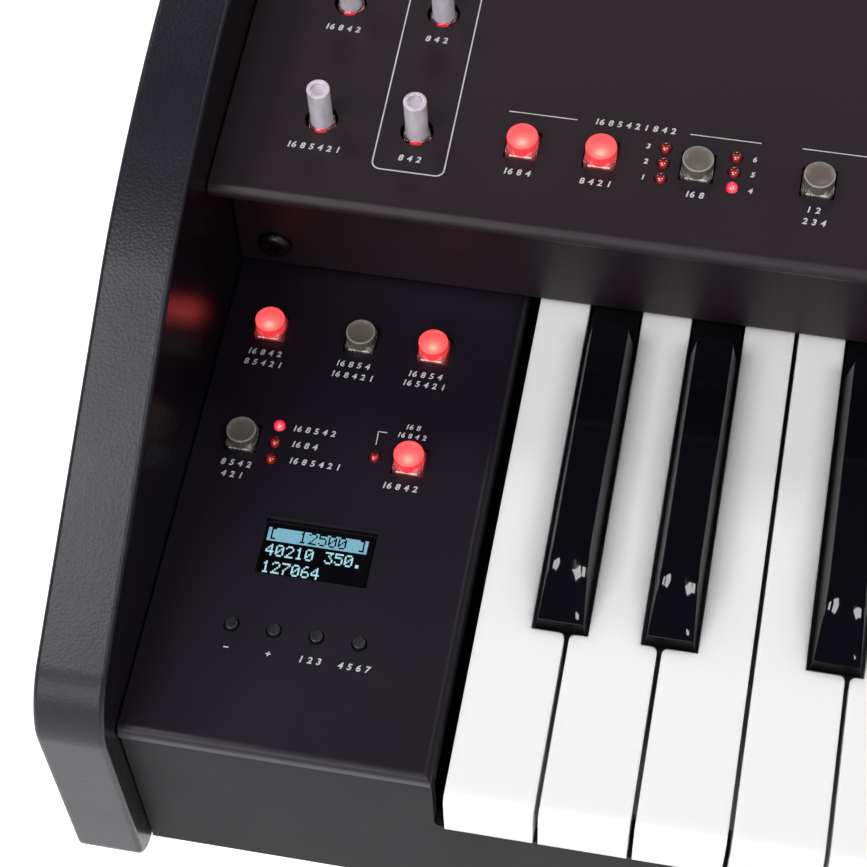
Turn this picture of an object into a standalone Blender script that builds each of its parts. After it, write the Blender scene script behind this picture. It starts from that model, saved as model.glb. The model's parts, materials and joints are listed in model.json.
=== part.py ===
"""Portable single-manual drawbar organ, modelled as the parts that it is assembled from.

Units are metres and +Z is up. +X runs from the bass end to the treble end, and +Y runs away
from the player. The origin is on the table, under the middle of the case.
"""
import math

import bmesh
import bpy
from mathutils import Matrix, Vector

# General fits
FIT = 0.0003                    # gap between two pieces that touch
SHEET = 0.0012                  # folded steel sheet
ARC_ERROR = 0.00016             # largest gap between an arc and its chords

# Case
CHEEK_THICKNESS = 0.018
FRONT_DEPTH = 0.150             # fascia plane to the cheeks' front faces
REAR_DEPTH = 0.190              # fascia plane to the cheeks' back edges
FOOT_HEIGHT = 0.006
FOOT_RADIUS = 0.011
FOOT_TREAD_RADIUS = 0.0101      # where the foot meets the table
FOOT_EDGE = 0.0015
FOOT_INSET = 0.050              # foot middle to the pan's sides and ends
KEY_TOP = 0.078                 # white key tops above the table
CROWN_RISE = 0.0845             # cheek crown above the key tops
SLOPE_RUN = 0.1398              # length over which a cheek's slope climbs to the crown
SLOPE_FOOT_RISE = 0.0163        # where the slope would meet the front face, above the key tops
NOSE_RADIUS = 0.022
CROWN_RADIUS = 0.196
CHEEK_CORNER = 0.008
CHEEK_EDGE = 0.0014             # rounding of the cheeks' long edges
BACK_RECESS = 0.004             # back panel to the cheeks' back edges
BACK_THICKNESS = 0.002
PAN_FLANGE = 0.010
FOLD_RADIUS = 0.0016            # outside of a tight fold in the sheet

# Manual
WHITE_PITCH = 0.0235
WHITE_COUNT = 36
MOVING_WHITES = 7               # the lowest octave, one node and one hinge for each key
KEY_GAP = 0.0012
WHITE_REACH = 0.1477            # fascia plane to the white keys' front faces
HEAD_LENGTH = 0.050
WHITE_DEPTH = 0.018
WHITE_NOSE = 0.003
SHOULDER_RADIUS = 0.0016
SLOT_WIDTH = 0.0145             # gap between white tails that a black key lies in
SHARP_SHIFTS = {0: -0.0020, 1: 0.0023, 3: -0.0032, 4: 0.0, 5: 0.0032}
BLACK_WIDTH = 0.0130
BLACK_TOP_WIDTH = 0.0096
BLACK_RISE = 0.012              # black tops above the white tops
SHOULDER_GAP = 0.0009           # black key's front to the white shoulders, so that it can swing
BLACK_SLOPE = 0.0130            # length of the sloping front
BLACK_REAR = 0.0085             # cap's back end in front of the fascia
BLACK_BACK_SLOPE = 0.0045
BLACK_EDGE = 0.0007             # rounding of a black key's long top edges
BLACK_BACK_KNEE = 0.75          # share of the rise at which the cap's back starts to slope
BLACK_KNEE = (0.6, 0.72)        # bend in the sloping front: shares of its length and of the rise
BLACK_FOOT_SHARE = 0.30         # share of the rise at which the slope meets the front face
TAIL_DROP = 0.0016              # black tails lie this far below the white tops
KEY_WALL = 0.002
KEY_SKIN = 0.003
PIVOT_Y = 0.046                 # key pivot behind the fascia plane
PIVOT_DROP = 0.009              # key pivot below the white tops
BEAD_RADIUS = 0.002
KEY_END = 0.054                 # key tails' back ends behind the fascia plane
COMB_LENGTH = 0.0035
CHASSIS_DROP = 0.032            # chassis deck below the white tops
CHASSIS_SHEET = 0.002
CHASSIS_SETBACK = 0.013         # chassis front behind the console's front
CHASSIS_REAR = 0.066
WEB_HALF = 0.0008               # half the thickness of the web that carries the pivot bead
BEAD_STEPS = 8
NOTCH_STEPS = 4
NOTCH_CLEAR = 0.012             # solid key left in front of the pivot

# Console at the bass end
CONSOLE_WIDTH = 0.0793
CONSOLE_GAP = 0.0033            # console edge to the first key's slot
TREBLE_GAP = 0.0025
CONSOLE_REACH = 0.1430
CONSOLE_TUCK = 0.010            # length under the fascia
CONSOLE_WALL = 0.012
CONSOLE_LIP = 0.0045
CONSOLE_ROLL = 0.0025
RAIL_SETBACK = 0.001            # front rail face behind the console's rolled edge
RAIL_THICKNESS = 0.0038
RAIL_DROP = 0.031               # front rail's top edge below the key tops
RAIL_CORNER = 0.002

# Top panel
PANEL_RISE = 0.0584             # panel surface above the key tops, at the fascia plane
PANEL_TILT = math.radians(2.3)
OVERHANG = 0.0174
LIP_DROP = 0.0045
FASCIA_GAP = 0.0012
FASCIA_HEM = 0.008
PANEL_ROLL = 0.0025
PANEL_REAR_FLANGE = 0.012

# Controls: places are from the console's or the panel's left edge and from the fascia plane
BUTTON_SIZE = 0.0082
BUTTON_HOLE = 0.0088
BUTTON_CHAMFER = 0.0012
BUTTON_BASE_RISE = 0.0005
BUTTON_COLUMN = 0.0040          # radius
BUTTON_RISE = 0.0039
BUTTON_DISH = 0.0006
BUTTON_DISH_RADIUS = 0.0018     # flat middle of the dished top
BUTTON_SKIRT = 0.0060
BUTTON_WALL = 0.0006
BUTTON_PLAY = 0.0011            # hollow's top above the switch body, more than the travel
SWITCH_SIZE = 0.0056
SWITCH_TOP = 0.0023             # switch body's top below the panel surface
CONSOLE_BUTTONS = ((0.0123, -0.0197), (0.0374, -0.0197), (0.0573, -0.0197),
                   (0.0123, -0.0550), (0.0573, -0.0550))
CONSOLE_LAMPS = ((0.0213, -0.0500), (0.0213, -0.0551), (0.0213, -0.0602), (0.0481, -0.0552))
MENU_FIRST = 0.0218
MENU_PITCH = 0.01103
MENU_COUNT = 4
MENU_Y = -0.1095
MENU_RADIUS = 0.0017
MENU_HOLE = 0.0020
MENU_RISE = 0.0010
MENU_LENGTH = 0.0060
MENU_DOME = (0.8, 0.7)          # shares of the radius at the top and of the rise at the shoulder
WINDOW_CENTRE = (0.03885, -0.08565)
WINDOW_SIZE = (0.0293, 0.0163)
DISPLAY_MARGIN = 0.0022
PANEL_BUTTON_Y = 0.0080
PANEL_BUTTONS = (0.0769, 0.0970, 0.1216, 0.1521, 0.1722, 0.1923)
LAMP_COLUMNS = (0.1129, 0.1309)
LAMP_ROW_PITCH = 0.0047
LAMP_RADIUS = 0.0015
LAMP_HOLE = 0.0017
LAMP_RISE = 0.0012
LAMP_DOME = 0.6                 # share of the radius at a lamp's top
KNOBS = ((0.0247, 0.0079), (0.0496, 0.0079), (0.0247, 0.0460), (0.0496, 0.0460))
KNOB_RADIUS = 0.0030
KNOB_COLLAR = 0.0035
KNOB_HOLE = 0.0043
KNOB_RISE = 0.0130
KNOB_EDGE = 0.0003
KNOB_RECESS = 0.0012
KNOB_RECESS_RADIUS = 0.0020
KNOB_TAIL = 0.0063
DRAWBAR_COUNT = 9
DRAWBAR_FIRST = 0.4050
DRAWBAR_PITCH = 0.0160
DRAWBAR_Y = 0.0960              # stem middle with the bar pushed in
DRAWBAR_TRAVEL = 0.0480
DRAWBAR_STEM = (0.0026, 0.0080)
DRAWBAR_SLOT = 0.0032
DRAWBAR_CAP = (0.0112, 0.0160, 0.0100)
DRAWBAR_PROFILE = ((0.94, 0.94, 0.0), (1.0, 1.0, 0.15), (0.96, 0.90, 0.75), (0.84, 0.66, 1.0))
DRAWBAR_LIFT = 0.0006           # cap's underside above the panel
DRAWBAR_TAIL = 0.0051
DRAWBAR_COLOURS = "bbwwkwkkw"   # brown, white or black, from the bass end
SLIDER_WIDTH = 0.0090
SLIDER_END = 0.0080             # slider body past each end of its stem's travel
POT_SIZE = 0.010
CONSOLE_BOARD_INSET = 0.005     # console board's sides inside the console's
CONSOLE_BOARD_SETBACK = 0.012
CONSOLE_BOARD_TUCK = 0.006      # console board's length under the fascia
TOP_BOARD_INSET = 0.010         # top board's left side inside the panel's
TOP_BOARD_MARGIN = 0.016        # top board past the last drawbar, to its right and behind it
POST_INSET = 0.006              # posts inside a board's edges
MENU_SWITCH_GAP = 0.0009        # menu button to its switch body, more than the travel
BOARD_THICKNESS = 0.0016
BOARD_DROP = 0.0084             # board's upper face below the panel surface
STANDOFF_RADIUS = 0.0025

# Back
MAIN_BOARD = (0.060, 0.330)     # from the inner left, start and end
MAIN_BOARD_DEPTH = 0.075
MAIN_BOARD_LIFT = 0.010         # board's underside above the pan floor
JACK_FIRST = 0.080
JACK_PITCH = 0.0220
JACK_COUNT = 6
JACK_BODY = (0.0160, 0.0220, 0.0160)
JACK_NOSE = 0.0055
JACK_BORE = 0.00325
JACK_DEPTH = 0.020
DIN_FIRST = 0.225
DIN_PITCH = 0.026
DIN_COUNT = 2
DIN_BODY = (0.0200, 0.0140, 0.0190)
DIN_NOSE = 0.0080
DIN_BORE = 0.0066
DIN_DEPTH = 0.009
USB_X = 0.285
USB_BODY = (0.0120, 0.0160, 0.0110)
USB_BORE = (0.0084, 0.0078)
USB_DEPTH = 0.010
NOSE_PROUD = 0.0010
INLET_X = 0.100                 # inlet middle from the inner right
INLET_Z = 0.045                 # inlet middle above the table
INLET_FLANGE = (0.0520, 0.0280)
INLET_BODY = (0.0470, 0.0225)
INLET_DEPTH = 0.022
INLET_PLUG = (0.0240, 0.0160)
INLET_PLUG_X = -0.0095          # plug recess middle from the inlet's middle
INLET_PLUG_DEPTH = 0.016
INLET_PROUD = 0.0016            # flange face behind the back panel
ROCKER_WELL = 0.0132
PIN_STAGGER = 0.0020
PIN_SIZE = (0.0020, 0.0040)
PIN_LENGTH = 0.009
PIN_SPREAD = 0.0070
ROCKER_X = 0.0150
ROCKER_WIDTH = 0.0085
ROCKER_HALF = 0.0076            # half the rocker's length
ROCKER_BELLY = 0.0072           # radius of the underside
ROCKER_ROOT = 0.0020            # depth of the ends
ROCKER_PROUD = 0.0022
ROCKER_TILT = math.radians(6.0)
ROCKER_CLEAR = 0.0004

# Derived frame
KEYBOARD_WIDTH = WHITE_PITCH * WHITE_COUNT
INNER_WIDTH = FIT + CONSOLE_WIDTH + CONSOLE_GAP + KEYBOARD_WIDTH + TREBLE_GAP
INNER_LEFT = -INNER_WIDTH / 2
INNER_RIGHT = INNER_WIDTH / 2
KEYS_LEFT = INNER_LEFT + FIT + CONSOLE_WIDTH + CONSOLE_GAP
BLACK_REACH = WHITE_REACH - HEAD_LENGTH - SHOULDER_GAP
CHASSIS_FRONT = CONSOLE_REACH - CHASSIS_SETBACK
FRONT_Y = -(FRONT_DEPTH + REAR_DEPTH) / 2
REAR_Y = -FRONT_Y
FASCIA_Y = FRONT_Y + FRONT_DEPTH
BACK_Y = REAR_Y - BACK_RECESS
BACK_INNER_Y = BACK_Y - BACK_THICKNESS
PAN_FRONT = FASCIA_Y - CONSOLE_REACH + RAIL_SETBACK + RAIL_THICKNESS + FIT
PAN_BACK = BACK_INNER_Y - FIT
CASE_FLOOR = FOOT_HEIGHT + SHEET
PANEL_LEFT = INNER_LEFT + FIT
PANEL_RIGHT = INNER_RIGHT - FIT
PANEL_REAR_Z = KEY_TOP + PANEL_RISE + (BACK_Y - FASCIA_Y) * math.tan(PANEL_TILT)
CONSOLE_FRAME = Matrix.Translation((PANEL_LEFT, FASCIA_Y, KEY_TOP))
PANEL_FRAME = (Matrix.Translation((PANEL_LEFT, FASCIA_Y, KEY_TOP + PANEL_RISE))
               @ Matrix.Rotation(PANEL_TILT, 4, "X"))

CASE_BLACK = ((0.030, 0.030, 0.034), 0.45, 0.0)
PAINT_BLACK = ((0.020, 0.020, 0.023), 0.35, 0.0)
STEEL = ((0.45, 0.46, 0.48), 0.40, 0.9)
IVORY = ((0.88, 0.88, 0.87), 0.25, 0.0)
EBONY = ((0.012, 0.012, 0.014), 0.10, 0.0)
BOARD_GREEN = ((0.03, 0.16, 0.07), 0.50, 0.0)
CLEAR_RED = ((0.80, 0.12, 0.12), 0.20, 0.0)
CLEAR_GREY = ((0.42, 0.39, 0.37), 0.20, 0.0)
CLEAR = ((0.75, 0.70, 0.74), 0.15, 0.0)
RUBBER = ((0.02, 0.02, 0.02), 0.80, 0.0)
PLASTIC = ((0.035, 0.035, 0.038), 0.50, 0.0)
BAR_BROWN = ((0.16, 0.06, 0.03), 0.30, 0.0)
DISPLAY_BLUE = ((0.20, 0.45, 0.55), 0.10, 0.0)


def clear_scene():
    """Remove the objects that a new file starts with."""
    for item in list(bpy.data.objects):
        bpy.data.objects.remove(item, do_unlink=True)


def make_material(name, finish):
    """Principled material from a colour, a roughness and a metallic value."""
    colour, roughness, metallic = finish
    material = bpy.data.materials.new(name)
    material.use_nodes = True
    shader = material.node_tree.nodes["Principled BSDF"]
    shader.inputs["Base Color"].default_value = (*colour, 1.0)
    shader.inputs["Roughness"].default_value = roughness
    shader.inputs["Metallic"].default_value = metallic
    return material


def arc_steps(radius, sweep):
    """Number of chords that keep an arc within the allowed error."""
    widest = 2 * math.acos(1 - ARC_ERROR / radius)
    return max(1, math.ceil(abs(sweep) / widest))


def rounded_path(points, radii, closed):
    """Replace each corner that has a radius with an arc."""
    count = len(points)
    result = []
    for index, (here, radius) in enumerate(zip(points, radii)):
        here = Vector(here)
        is_end = not closed and index in (0, count - 1)
        if radius == 0 or is_end:
            result.append(here)
            continue
        before = (Vector(points[index - 1]) - here).normalized()
        after = (Vector(points[(index + 1) % count]) - here).normalized()
        half = before.angle(after) / 2
        reach = radius / math.tan(half)
        centre = here + (before + after).normalized() * radius / math.sin(half)
        start = here + before * reach - centre
        end = here + after * reach - centre
        sweep = start.angle_signed(end)
        steps = arc_steps(radius, sweep)
        for step in range(steps + 1):
            turn = Matrix.Rotation(-sweep * step / steps, 2)
            result.append(centre + turn @ start)
    return result


def thickened(path, thickness):
    """Closed outline of a sheet: the path, and the path moved to its left by the thickness."""
    inner = []
    for index, here in enumerate(path):
        directions = []
        if index > 0:
            directions.append((here - path[index - 1]).normalized())
        if index < len(path) - 1:
            directions.append((path[index + 1] - here).normalized())
        normals = [Vector((-way.y, way.x)) for way in directions]
        middle = sum(normals, Vector((0, 0))).normalized()
        inner.append(here + middle * thickness / middle.dot(normals[0]))
    return list(path) + inner[::-1]


def ring(radius, sides):
    """Points of a circle about the origin."""
    return [(radius * math.cos(math.tau * i / sides), radius * math.sin(math.tau * i / sides))
            for i in range(sides)]


def rectangle(width, depth):
    """Corners of a rectangle about the origin."""
    return [(-width / 2, -depth / 2), (width / 2, -depth / 2),
            (width / 2, depth / 2), (-width / 2, depth / 2)]


class Solid:
    """Closed shapes collected in one mesh."""

    def __init__(self):
        self.mesh = bmesh.new()

    def prism(self, outline, axis, low, high):
        """Outline pushed along an axis. X outlines are (y, z), Y ones (x, z), Z ones (x, y)."""
        ends = []
        for level in (low, high):
            spots = [self._spot(point, axis, level) for point in outline]
            ends.append([self.mesh.verts.new(spot) for spot in spots])
        self._bridge(ends)
        return self

    def box(self, low, high):
        """Box between two corners."""
        outline = [(low[0], low[1]), (high[0], low[1]), (high[0], high[1]), (low[0], high[1])]
        return self.prism(outline, "Z", low[2], high[2])

    def cylinder(self, centre, radius, axis, low, high, sides=16):
        """Cylinder along an axis; the centre is given in the other two coordinates."""
        outline = [(centre[0] + a, centre[1] + b) for a, b in ring(radius, sides)]
        return self.prism(outline, axis, low, high)

    def stack(self, sections, centre=(0.0, 0.0)):
        """Loft through outlines with one number of points, each at its own height."""
        loops = []
        for outline, height in sections:
            loops.append([self.mesh.verts.new((centre[0] + x, centre[1] + y, height))
                          for x, y in outline])
        self._bridge(loops)
        return self

    def loft(self, loops):
        """Loft through closed loops of points in space."""
        self._bridge([[self.mesh.verts.new(point) for point in loop] for loop in loops])
        return self

    def round_edges(self, keep, width, steps):
        """Round the edges whose two ends both pass a test."""
        edges = [edge for edge in self.mesh.edges
                 if all(keep(vertex.co) for vertex in edge.verts)]
        bmesh.ops.bevel(self.mesh, geom=edges, offset=width, segments=steps,
                        profile=0.5, affect="EDGES")
        return self

    def _bridge(self, loops):
        faces = [self.mesh.faces.new(loops[0][::-1]), self.mesh.faces.new(loops[-1])]
        count = len(loops[0])
        for lower, upper in zip(loops, loops[1:]):
            for i in range(count):
                j = (i + 1) % count
                faces.append(self.mesh.faces.new((lower[i], lower[j], upper[j], upper[i])))
        bmesh.ops.recalc_face_normals(self.mesh, faces=faces)

    @staticmethod
    def _spot(point, axis, level):
        a, b = point
        return {"X": (level, a, b), "Y": (a, level, b), "Z": (a, b, level)}[axis]


def place(name, solid, finish, frame=Matrix(), smooth=40):
    """Make the named object of a solid, with the frame as its own axes."""
    data = bpy.data.meshes.new(name)
    solid.mesh.to_mesh(data)
    solid.mesh.free()
    data.shade_smooth()
    data.set_sharp_from_angle(angle=math.radians(smooth))
    data.materials.append(make_material(name, finish))
    item = bpy.data.objects.new(name, data)
    bpy.context.collection.objects.link(item)
    item.matrix_world = frame
    return item


def combine(item, solid, operation, frame=Matrix()):
    """Join a solid to an object, or cut it away, with an exact Boolean."""
    tool = place(f"{item.name}_{operation.lower()}", solid, PLASTIC, frame)
    tool.hide_render = True
    tool.display_type = "WIRE"
    modifier = item.modifiers.new(operation.lower(), "BOOLEAN")
    modifier.operation = operation
    modifier.solver = "EXACT"
    modifier.object = tool
    return item


def soften(item, width, steps, angle=50):
    """Round an object's sharp edges."""
    modifier = item.modifiers.new("soften", "BEVEL")
    modifier.width = width
    modifier.segments = steps
    modifier.limit_method = "ANGLE"
    modifier.angle_limit = math.radians(angle)


def cheek_outline():
    """Side view of a cheek: upright front, slope, crown and back."""
    corner_z = KEY_TOP + SLOPE_FOOT_RISE
    crown_z = KEY_TOP + CROWN_RISE
    points = [(FRONT_Y, FOOT_HEIGHT), (FRONT_Y, corner_z), (FRONT_Y + SLOPE_RUN, crown_z),
              (REAR_Y, crown_z), (REAR_Y, FOOT_HEIGHT)]
    radii = [CHEEK_CORNER, NOSE_RADIUS, CROWN_RADIUS, CHEEK_CORNER, CHEEK_CORNER]
    return rounded_path(points, radii, closed=True)


def build_cheeks():
    """The two end boards."""
    for name, inner in (("left_cheek", INNER_LEFT), ("right_cheek", INNER_RIGHT)):
        outer = inner + math.copysign(CHEEK_THICKNESS, inner)
        solid = Solid().prism(cheek_outline(), "X", min(inner, outer), max(inner, outer))
        soften(place(name, solid, CASE_BLACK), CHEEK_EDGE, 2)


def build_pan():
    """Folded floor between the cheeks, with a flange up at the front and the back."""
    top = FOOT_HEIGHT + PAN_FLANGE
    path = rounded_path([(PAN_BACK, top), (PAN_BACK, FOOT_HEIGHT), (PAN_FRONT, FOOT_HEIGHT),
                         (PAN_FRONT, top)], [0, 2 * SHEET, 2 * SHEET, 0], closed=False)
    outline = thickened(path[::-1], SHEET)
    place("bottom_pan", Solid().prism(outline, "X", PANEL_LEFT, PANEL_RIGHT), PAINT_BLACK)


def build_feet():
    """Four rubber feet under the pan."""
    left, right = INNER_LEFT + FOOT_INSET, INNER_RIGHT - FOOT_INSET
    front, rear = PAN_FRONT + FOOT_INSET, PAN_BACK - FOOT_INSET
    places = {"foot_front_left": (left, front), "foot_front_right": (right, front),
              "foot_rear_left": (left, rear), "foot_rear_right": (right, rear)}
    for name, (x, y) in places.items():
        sections = [(ring(FOOT_TREAD_RADIUS, 16), 0.0), (ring(FOOT_RADIUS, 16), FOOT_EDGE),
                    (ring(FOOT_RADIUS, 16), FOOT_HEIGHT - FIT)]
        place(name, Solid().stack(sections), RUBBER, Matrix.Translation((x, y, 0)))


def build_front_rail():
    """Plate under the keys' fronts, raised under the console."""
    front = FASCIA_Y - CONSOLE_REACH + RAIL_SETBACK
    low_top = KEY_TOP - RAIL_DROP
    high_top = KEY_TOP - CONSOLE_LIP - FIT
    step = KEYS_LEFT - CONSOLE_GAP
    outline = rounded_path([(PANEL_LEFT, FOOT_HEIGHT), (PANEL_RIGHT, FOOT_HEIGHT),
                            (PANEL_RIGHT, low_top), (step, low_top), (step, high_top),
                            (PANEL_LEFT, high_top)],
                           [0, 0, 0, RAIL_CORNER, RAIL_CORNER, 0], closed=True)
    place("front_rail", Solid().prism(outline, "Y", front, front + RAIL_THICKNESS), PAINT_BLACK)


def panel_outline():
    """Side view of the top panel: back flange, top, rolled overhang, fascia and hem."""
    front_y = FASCIA_Y - OVERHANG
    front_z = KEY_TOP + PANEL_RISE - OVERHANG * math.tan(PANEL_TILT)
    lip_z = front_z - LIP_DROP
    foot_z = KEY_TOP + FASCIA_GAP
    points = [(BACK_Y, PANEL_REAR_Z - PANEL_REAR_FLANGE), (BACK_Y, PANEL_REAR_Z),
              (front_y, front_z), (front_y, lip_z), (FASCIA_Y, lip_z), (FASCIA_Y, foot_z),
              (FASCIA_Y + FASCIA_HEM, foot_z)]
    radii = [0, PANEL_ROLL, PANEL_ROLL, FOLD_RADIUS, FOLD_RADIUS, FOLD_RADIUS, 0]
    return thickened(rounded_path(points, radii, closed=False), SHEET)


def lamp_spots():
    """Places of the panel's lamps."""
    return [(x, PANEL_BUTTON_Y + row * LAMP_ROW_PITCH)
            for x in LAMP_COLUMNS for row in (-1, 0, 1)]


def drawbar_spots():
    """X places of the drawbars."""
    return [DRAWBAR_FIRST + i * DRAWBAR_PITCH for i in range(DRAWBAR_COUNT)]


def build_top_panel():
    """Folded panel over the keys' tails, with the fascia in one piece."""
    item = place("top_panel", Solid().prism(panel_outline(), "X", PANEL_LEFT, PANEL_RIGHT),
                 PAINT_BLACK)
    cuts = Solid()
    reach = 2 * SHEET
    half = BUTTON_HOLE / 2
    for x in PANEL_BUTTONS:
        cuts.box((x - half, PANEL_BUTTON_Y - half, -reach),
                 (x + half, PANEL_BUTTON_Y + half, reach))
    for spot in lamp_spots():
        cuts.cylinder(spot, LAMP_HOLE, "Z", -reach, reach, sides=8)
    for spot in KNOBS:
        cuts.cylinder(spot, KNOB_HOLE, "Z", -reach, reach, sides=16)
    margin = DRAWBAR_STEM[1] / 2 + FIT
    for x in drawbar_spots():
        cuts.box((x - DRAWBAR_SLOT / 2, DRAWBAR_Y - DRAWBAR_TRAVEL - margin, -reach),
                 (x + DRAWBAR_SLOT / 2, DRAWBAR_Y + margin, reach))
    combine(item, cuts, "DIFFERENCE", PANEL_FRAME)


def build_console():
    """Folded console panel beside the keys, with its rolled front and right edges."""
    low = (0.0, -CONSOLE_REACH, -CONSOLE_WALL)
    high = (CONSOLE_WIDTH, CONSOLE_TUCK, 0.0)
    solid = Solid().box(low, high)
    solid.round_edges(lambda co: co.z == 0.0 and (co.y < 0.0 or co.x > CONSOLE_WIDTH / 2)
                      and (co.x > 0.0 or co.y < 0.0), CONSOLE_ROLL, 3)
    item = place("left_console", solid, PAINT_BLACK, CONSOLE_FRAME)
    inside = Solid()
    rail_back = -CONSOLE_REACH + RAIL_SETBACK + RAIL_THICKNESS + 2 * FIT
    inside.box((SHEET, -CONSOLE_REACH + SHEET, -2 * CONSOLE_WALL),
               (CONSOLE_WIDTH - SHEET, 2 * CONSOLE_TUCK, -SHEET))
    combine(item, inside, "DIFFERENCE", CONSOLE_FRAME)
    cuts = Solid()
    cuts.box((-SHEET, -2 * CONSOLE_REACH, -2 * CONSOLE_WALL),
             (CONSOLE_WIDTH + SHEET, rail_back, -CONSOLE_LIP))
    half = BUTTON_HOLE / 2
    for x, y in CONSOLE_BUTTONS:
        cuts.box((x - half, y - half, -2 * SHEET), (x + half, y + half, SHEET))
    for spot in CONSOLE_LAMPS:
        cuts.cylinder(spot, LAMP_HOLE, "Z", -2 * SHEET, SHEET, sides=8)
    for spot in menu_spots():
        cuts.cylinder(spot, MENU_HOLE, "Z", -2 * SHEET, SHEET, sides=14)
    x, y = WINDOW_CENTRE
    wide, deep = WINDOW_SIZE
    cuts.box((x - wide / 2, y - deep / 2, -2 * SHEET), (x + wide / 2, y + deep / 2, SHEET))
    combine(item, cuts, "DIFFERENCE", CONSOLE_FRAME)


def menu_spots():
    """Places of the four small menu buttons."""
    return [(MENU_FIRST + i * MENU_PITCH, MENU_Y) for i in range(MENU_COUNT)]


def build_display():
    """Display block under the console's window."""
    x, y = WINDOW_CENTRE
    wide = WINDOW_SIZE[0] / 2 + DISPLAY_MARGIN
    deep = WINDOW_SIZE[1] / 2 + DISPLAY_MARGIN
    solid = Solid().box((x - wide, y - deep, -BOARD_DROP + FIT), (x + wide, y + deep, -SHEET - FIT))
    place("display_module", solid, DISPLAY_BLUE, CONSOLE_FRAME)


def board_solid(low, high):
    """Circuit board between two corners, at its height under a panel."""
    return Solid().box((*low, -BOARD_DROP - BOARD_THICKNESS), (*high, -BOARD_DROP))


def add_lamp(solid, spot):
    """Round-topped lamp from the board to just above the panel."""
    bottom = -BOARD_DROP - BOARD_THICKNESS / 2
    sections = [(ring(LAMP_RADIUS, 8), bottom), (ring(LAMP_RADIUS, 8), 0.0),
                (ring(LAMP_RADIUS * LAMP_DOME, 8), LAMP_RISE)]
    solid.stack(sections, spot)


def add_block(solid, spot, size, top):
    """Square component body on the board."""
    half = size / 2
    bottom = -BOARD_DROP - BOARD_THICKNESS / 2
    solid.box((spot[0] - half, spot[1] - half, bottom), (spot[0] + half, spot[1] + half, top))


def add_standoff(solid, spot):
    """Round post from the board to the sheet above it."""
    bottom = -BOARD_DROP - BOARD_THICKNESS / 2
    solid.cylinder(spot, STANDOFF_RADIUS, "Z", bottom, -SHEET - FIT, sides=8)


def build_console_board():
    """Board under the console with its switches, lamps and posts."""
    low = (CONSOLE_BOARD_INSET, CONSOLE_BOARD_SETBACK - CONSOLE_REACH)
    high = (CONSOLE_WIDTH - CONSOLE_BOARD_INSET, CONSOLE_BOARD_TUCK)
    item = place("console_board", board_solid(low, high), BOARD_GREEN, CONSOLE_FRAME)
    parts = Solid()
    for spot in CONSOLE_BUTTONS:
        add_block(parts, spot, SWITCH_SIZE, -SWITCH_TOP)
    for spot in CONSOLE_LAMPS:
        add_lamp(parts, spot)
    for spot in menu_spots():
        add_block(parts, spot, SWITCH_SIZE, -MENU_LENGTH - MENU_SWITCH_GAP)
    for x in (low[0] + POST_INSET, high[0] - POST_INSET):
        for y in (low[1] + POST_INSET, high[1] - POST_INSET):
            add_standoff(parts, (x, y))
    combine(item, parts, "UNION", CONSOLE_FRAME)


def build_top_board():
    """Board under the top panel with its switches, lamps, pots and slider bodies."""
    low = (TOP_BOARD_INSET, SHEET + FIT)
    high = (drawbar_spots()[-1] + TOP_BOARD_MARGIN, DRAWBAR_Y + TOP_BOARD_MARGIN)
    item = place("top_board", board_solid(low, high), BOARD_GREEN, PANEL_FRAME)
    parts = Solid()
    for x in PANEL_BUTTONS:
        add_block(parts, (x, PANEL_BUTTON_Y), SWITCH_SIZE, -SWITCH_TOP)
    for spot in lamp_spots():
        add_lamp(parts, spot)
    for spot in KNOBS:
        add_block(parts, spot, POT_SIZE, -KNOB_TAIL - FIT)
    bottom = -BOARD_DROP - BOARD_THICKNESS / 2
    half = SLIDER_WIDTH / 2
    for x in drawbar_spots():
        parts.box((x - half, DRAWBAR_Y - DRAWBAR_TRAVEL - SLIDER_END, bottom),
                  (x + half, DRAWBAR_Y + SLIDER_END, -DRAWBAR_TAIL - FIT))
    columns = (PANEL_BUTTONS[-1] + 3 * POST_INSET, DRAWBAR_FIRST - POST_INSET, high[0] - POST_INSET)
    for x in columns:
        for y in (low[1] + POST_INSET, high[1] - POST_INSET):
            add_standoff(parts, (x, y))
    combine(item, parts, "UNION", PANEL_FRAME)


def button_angles():
    """Directions of the points round a button, with one at each end of its chamfers."""
    half = BUTTON_SIZE / 2
    corner = math.atan2(half - BUTTON_CHAMFER, half)
    quarter = [0.0, corner, math.pi / 4, math.pi / 2 - corner]
    return [angle + turn * math.pi / 2 for turn in range(4) for angle in quarter]


def chamfered_square(size):
    """Outline of a square with cut corners."""
    half = size / 2
    cut = half - BUTTON_CHAMFER
    points = []
    for angle in button_angles():
        way = Vector((math.cos(angle), math.sin(angle)))
        side = half / max(abs(way.x), abs(way.y))
        corner = (half + cut) / (abs(way.x) + abs(way.y))
        points.append(way * min(side, corner))
    return points


def button_ring(radius):
    """Circle through the same directions as the square."""
    return [Vector((math.cos(angle), math.sin(angle))) * radius for angle in button_angles()]


def button_solid():
    """Push button: square skirt, round column with a dished top, and a hollow for its switch."""
    hollow = chamfered_square(BUTTON_SIZE - 2 * BUTTON_WALL)
    sections = [(hollow, -SWITCH_TOP + BUTTON_PLAY), (hollow, -BUTTON_SKIRT),
                (chamfered_square(BUTTON_SIZE), -BUTTON_SKIRT),
                (chamfered_square(BUTTON_SIZE), BUTTON_BASE_RISE),
                (button_ring(BUTTON_COLUMN), BUTTON_BASE_RISE),
                (button_ring(BUTTON_COLUMN), BUTTON_RISE),
                (button_ring(BUTTON_DISH_RADIUS), BUTTON_RISE - BUTTON_DISH)]
    return Solid().stack(sections)


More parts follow.
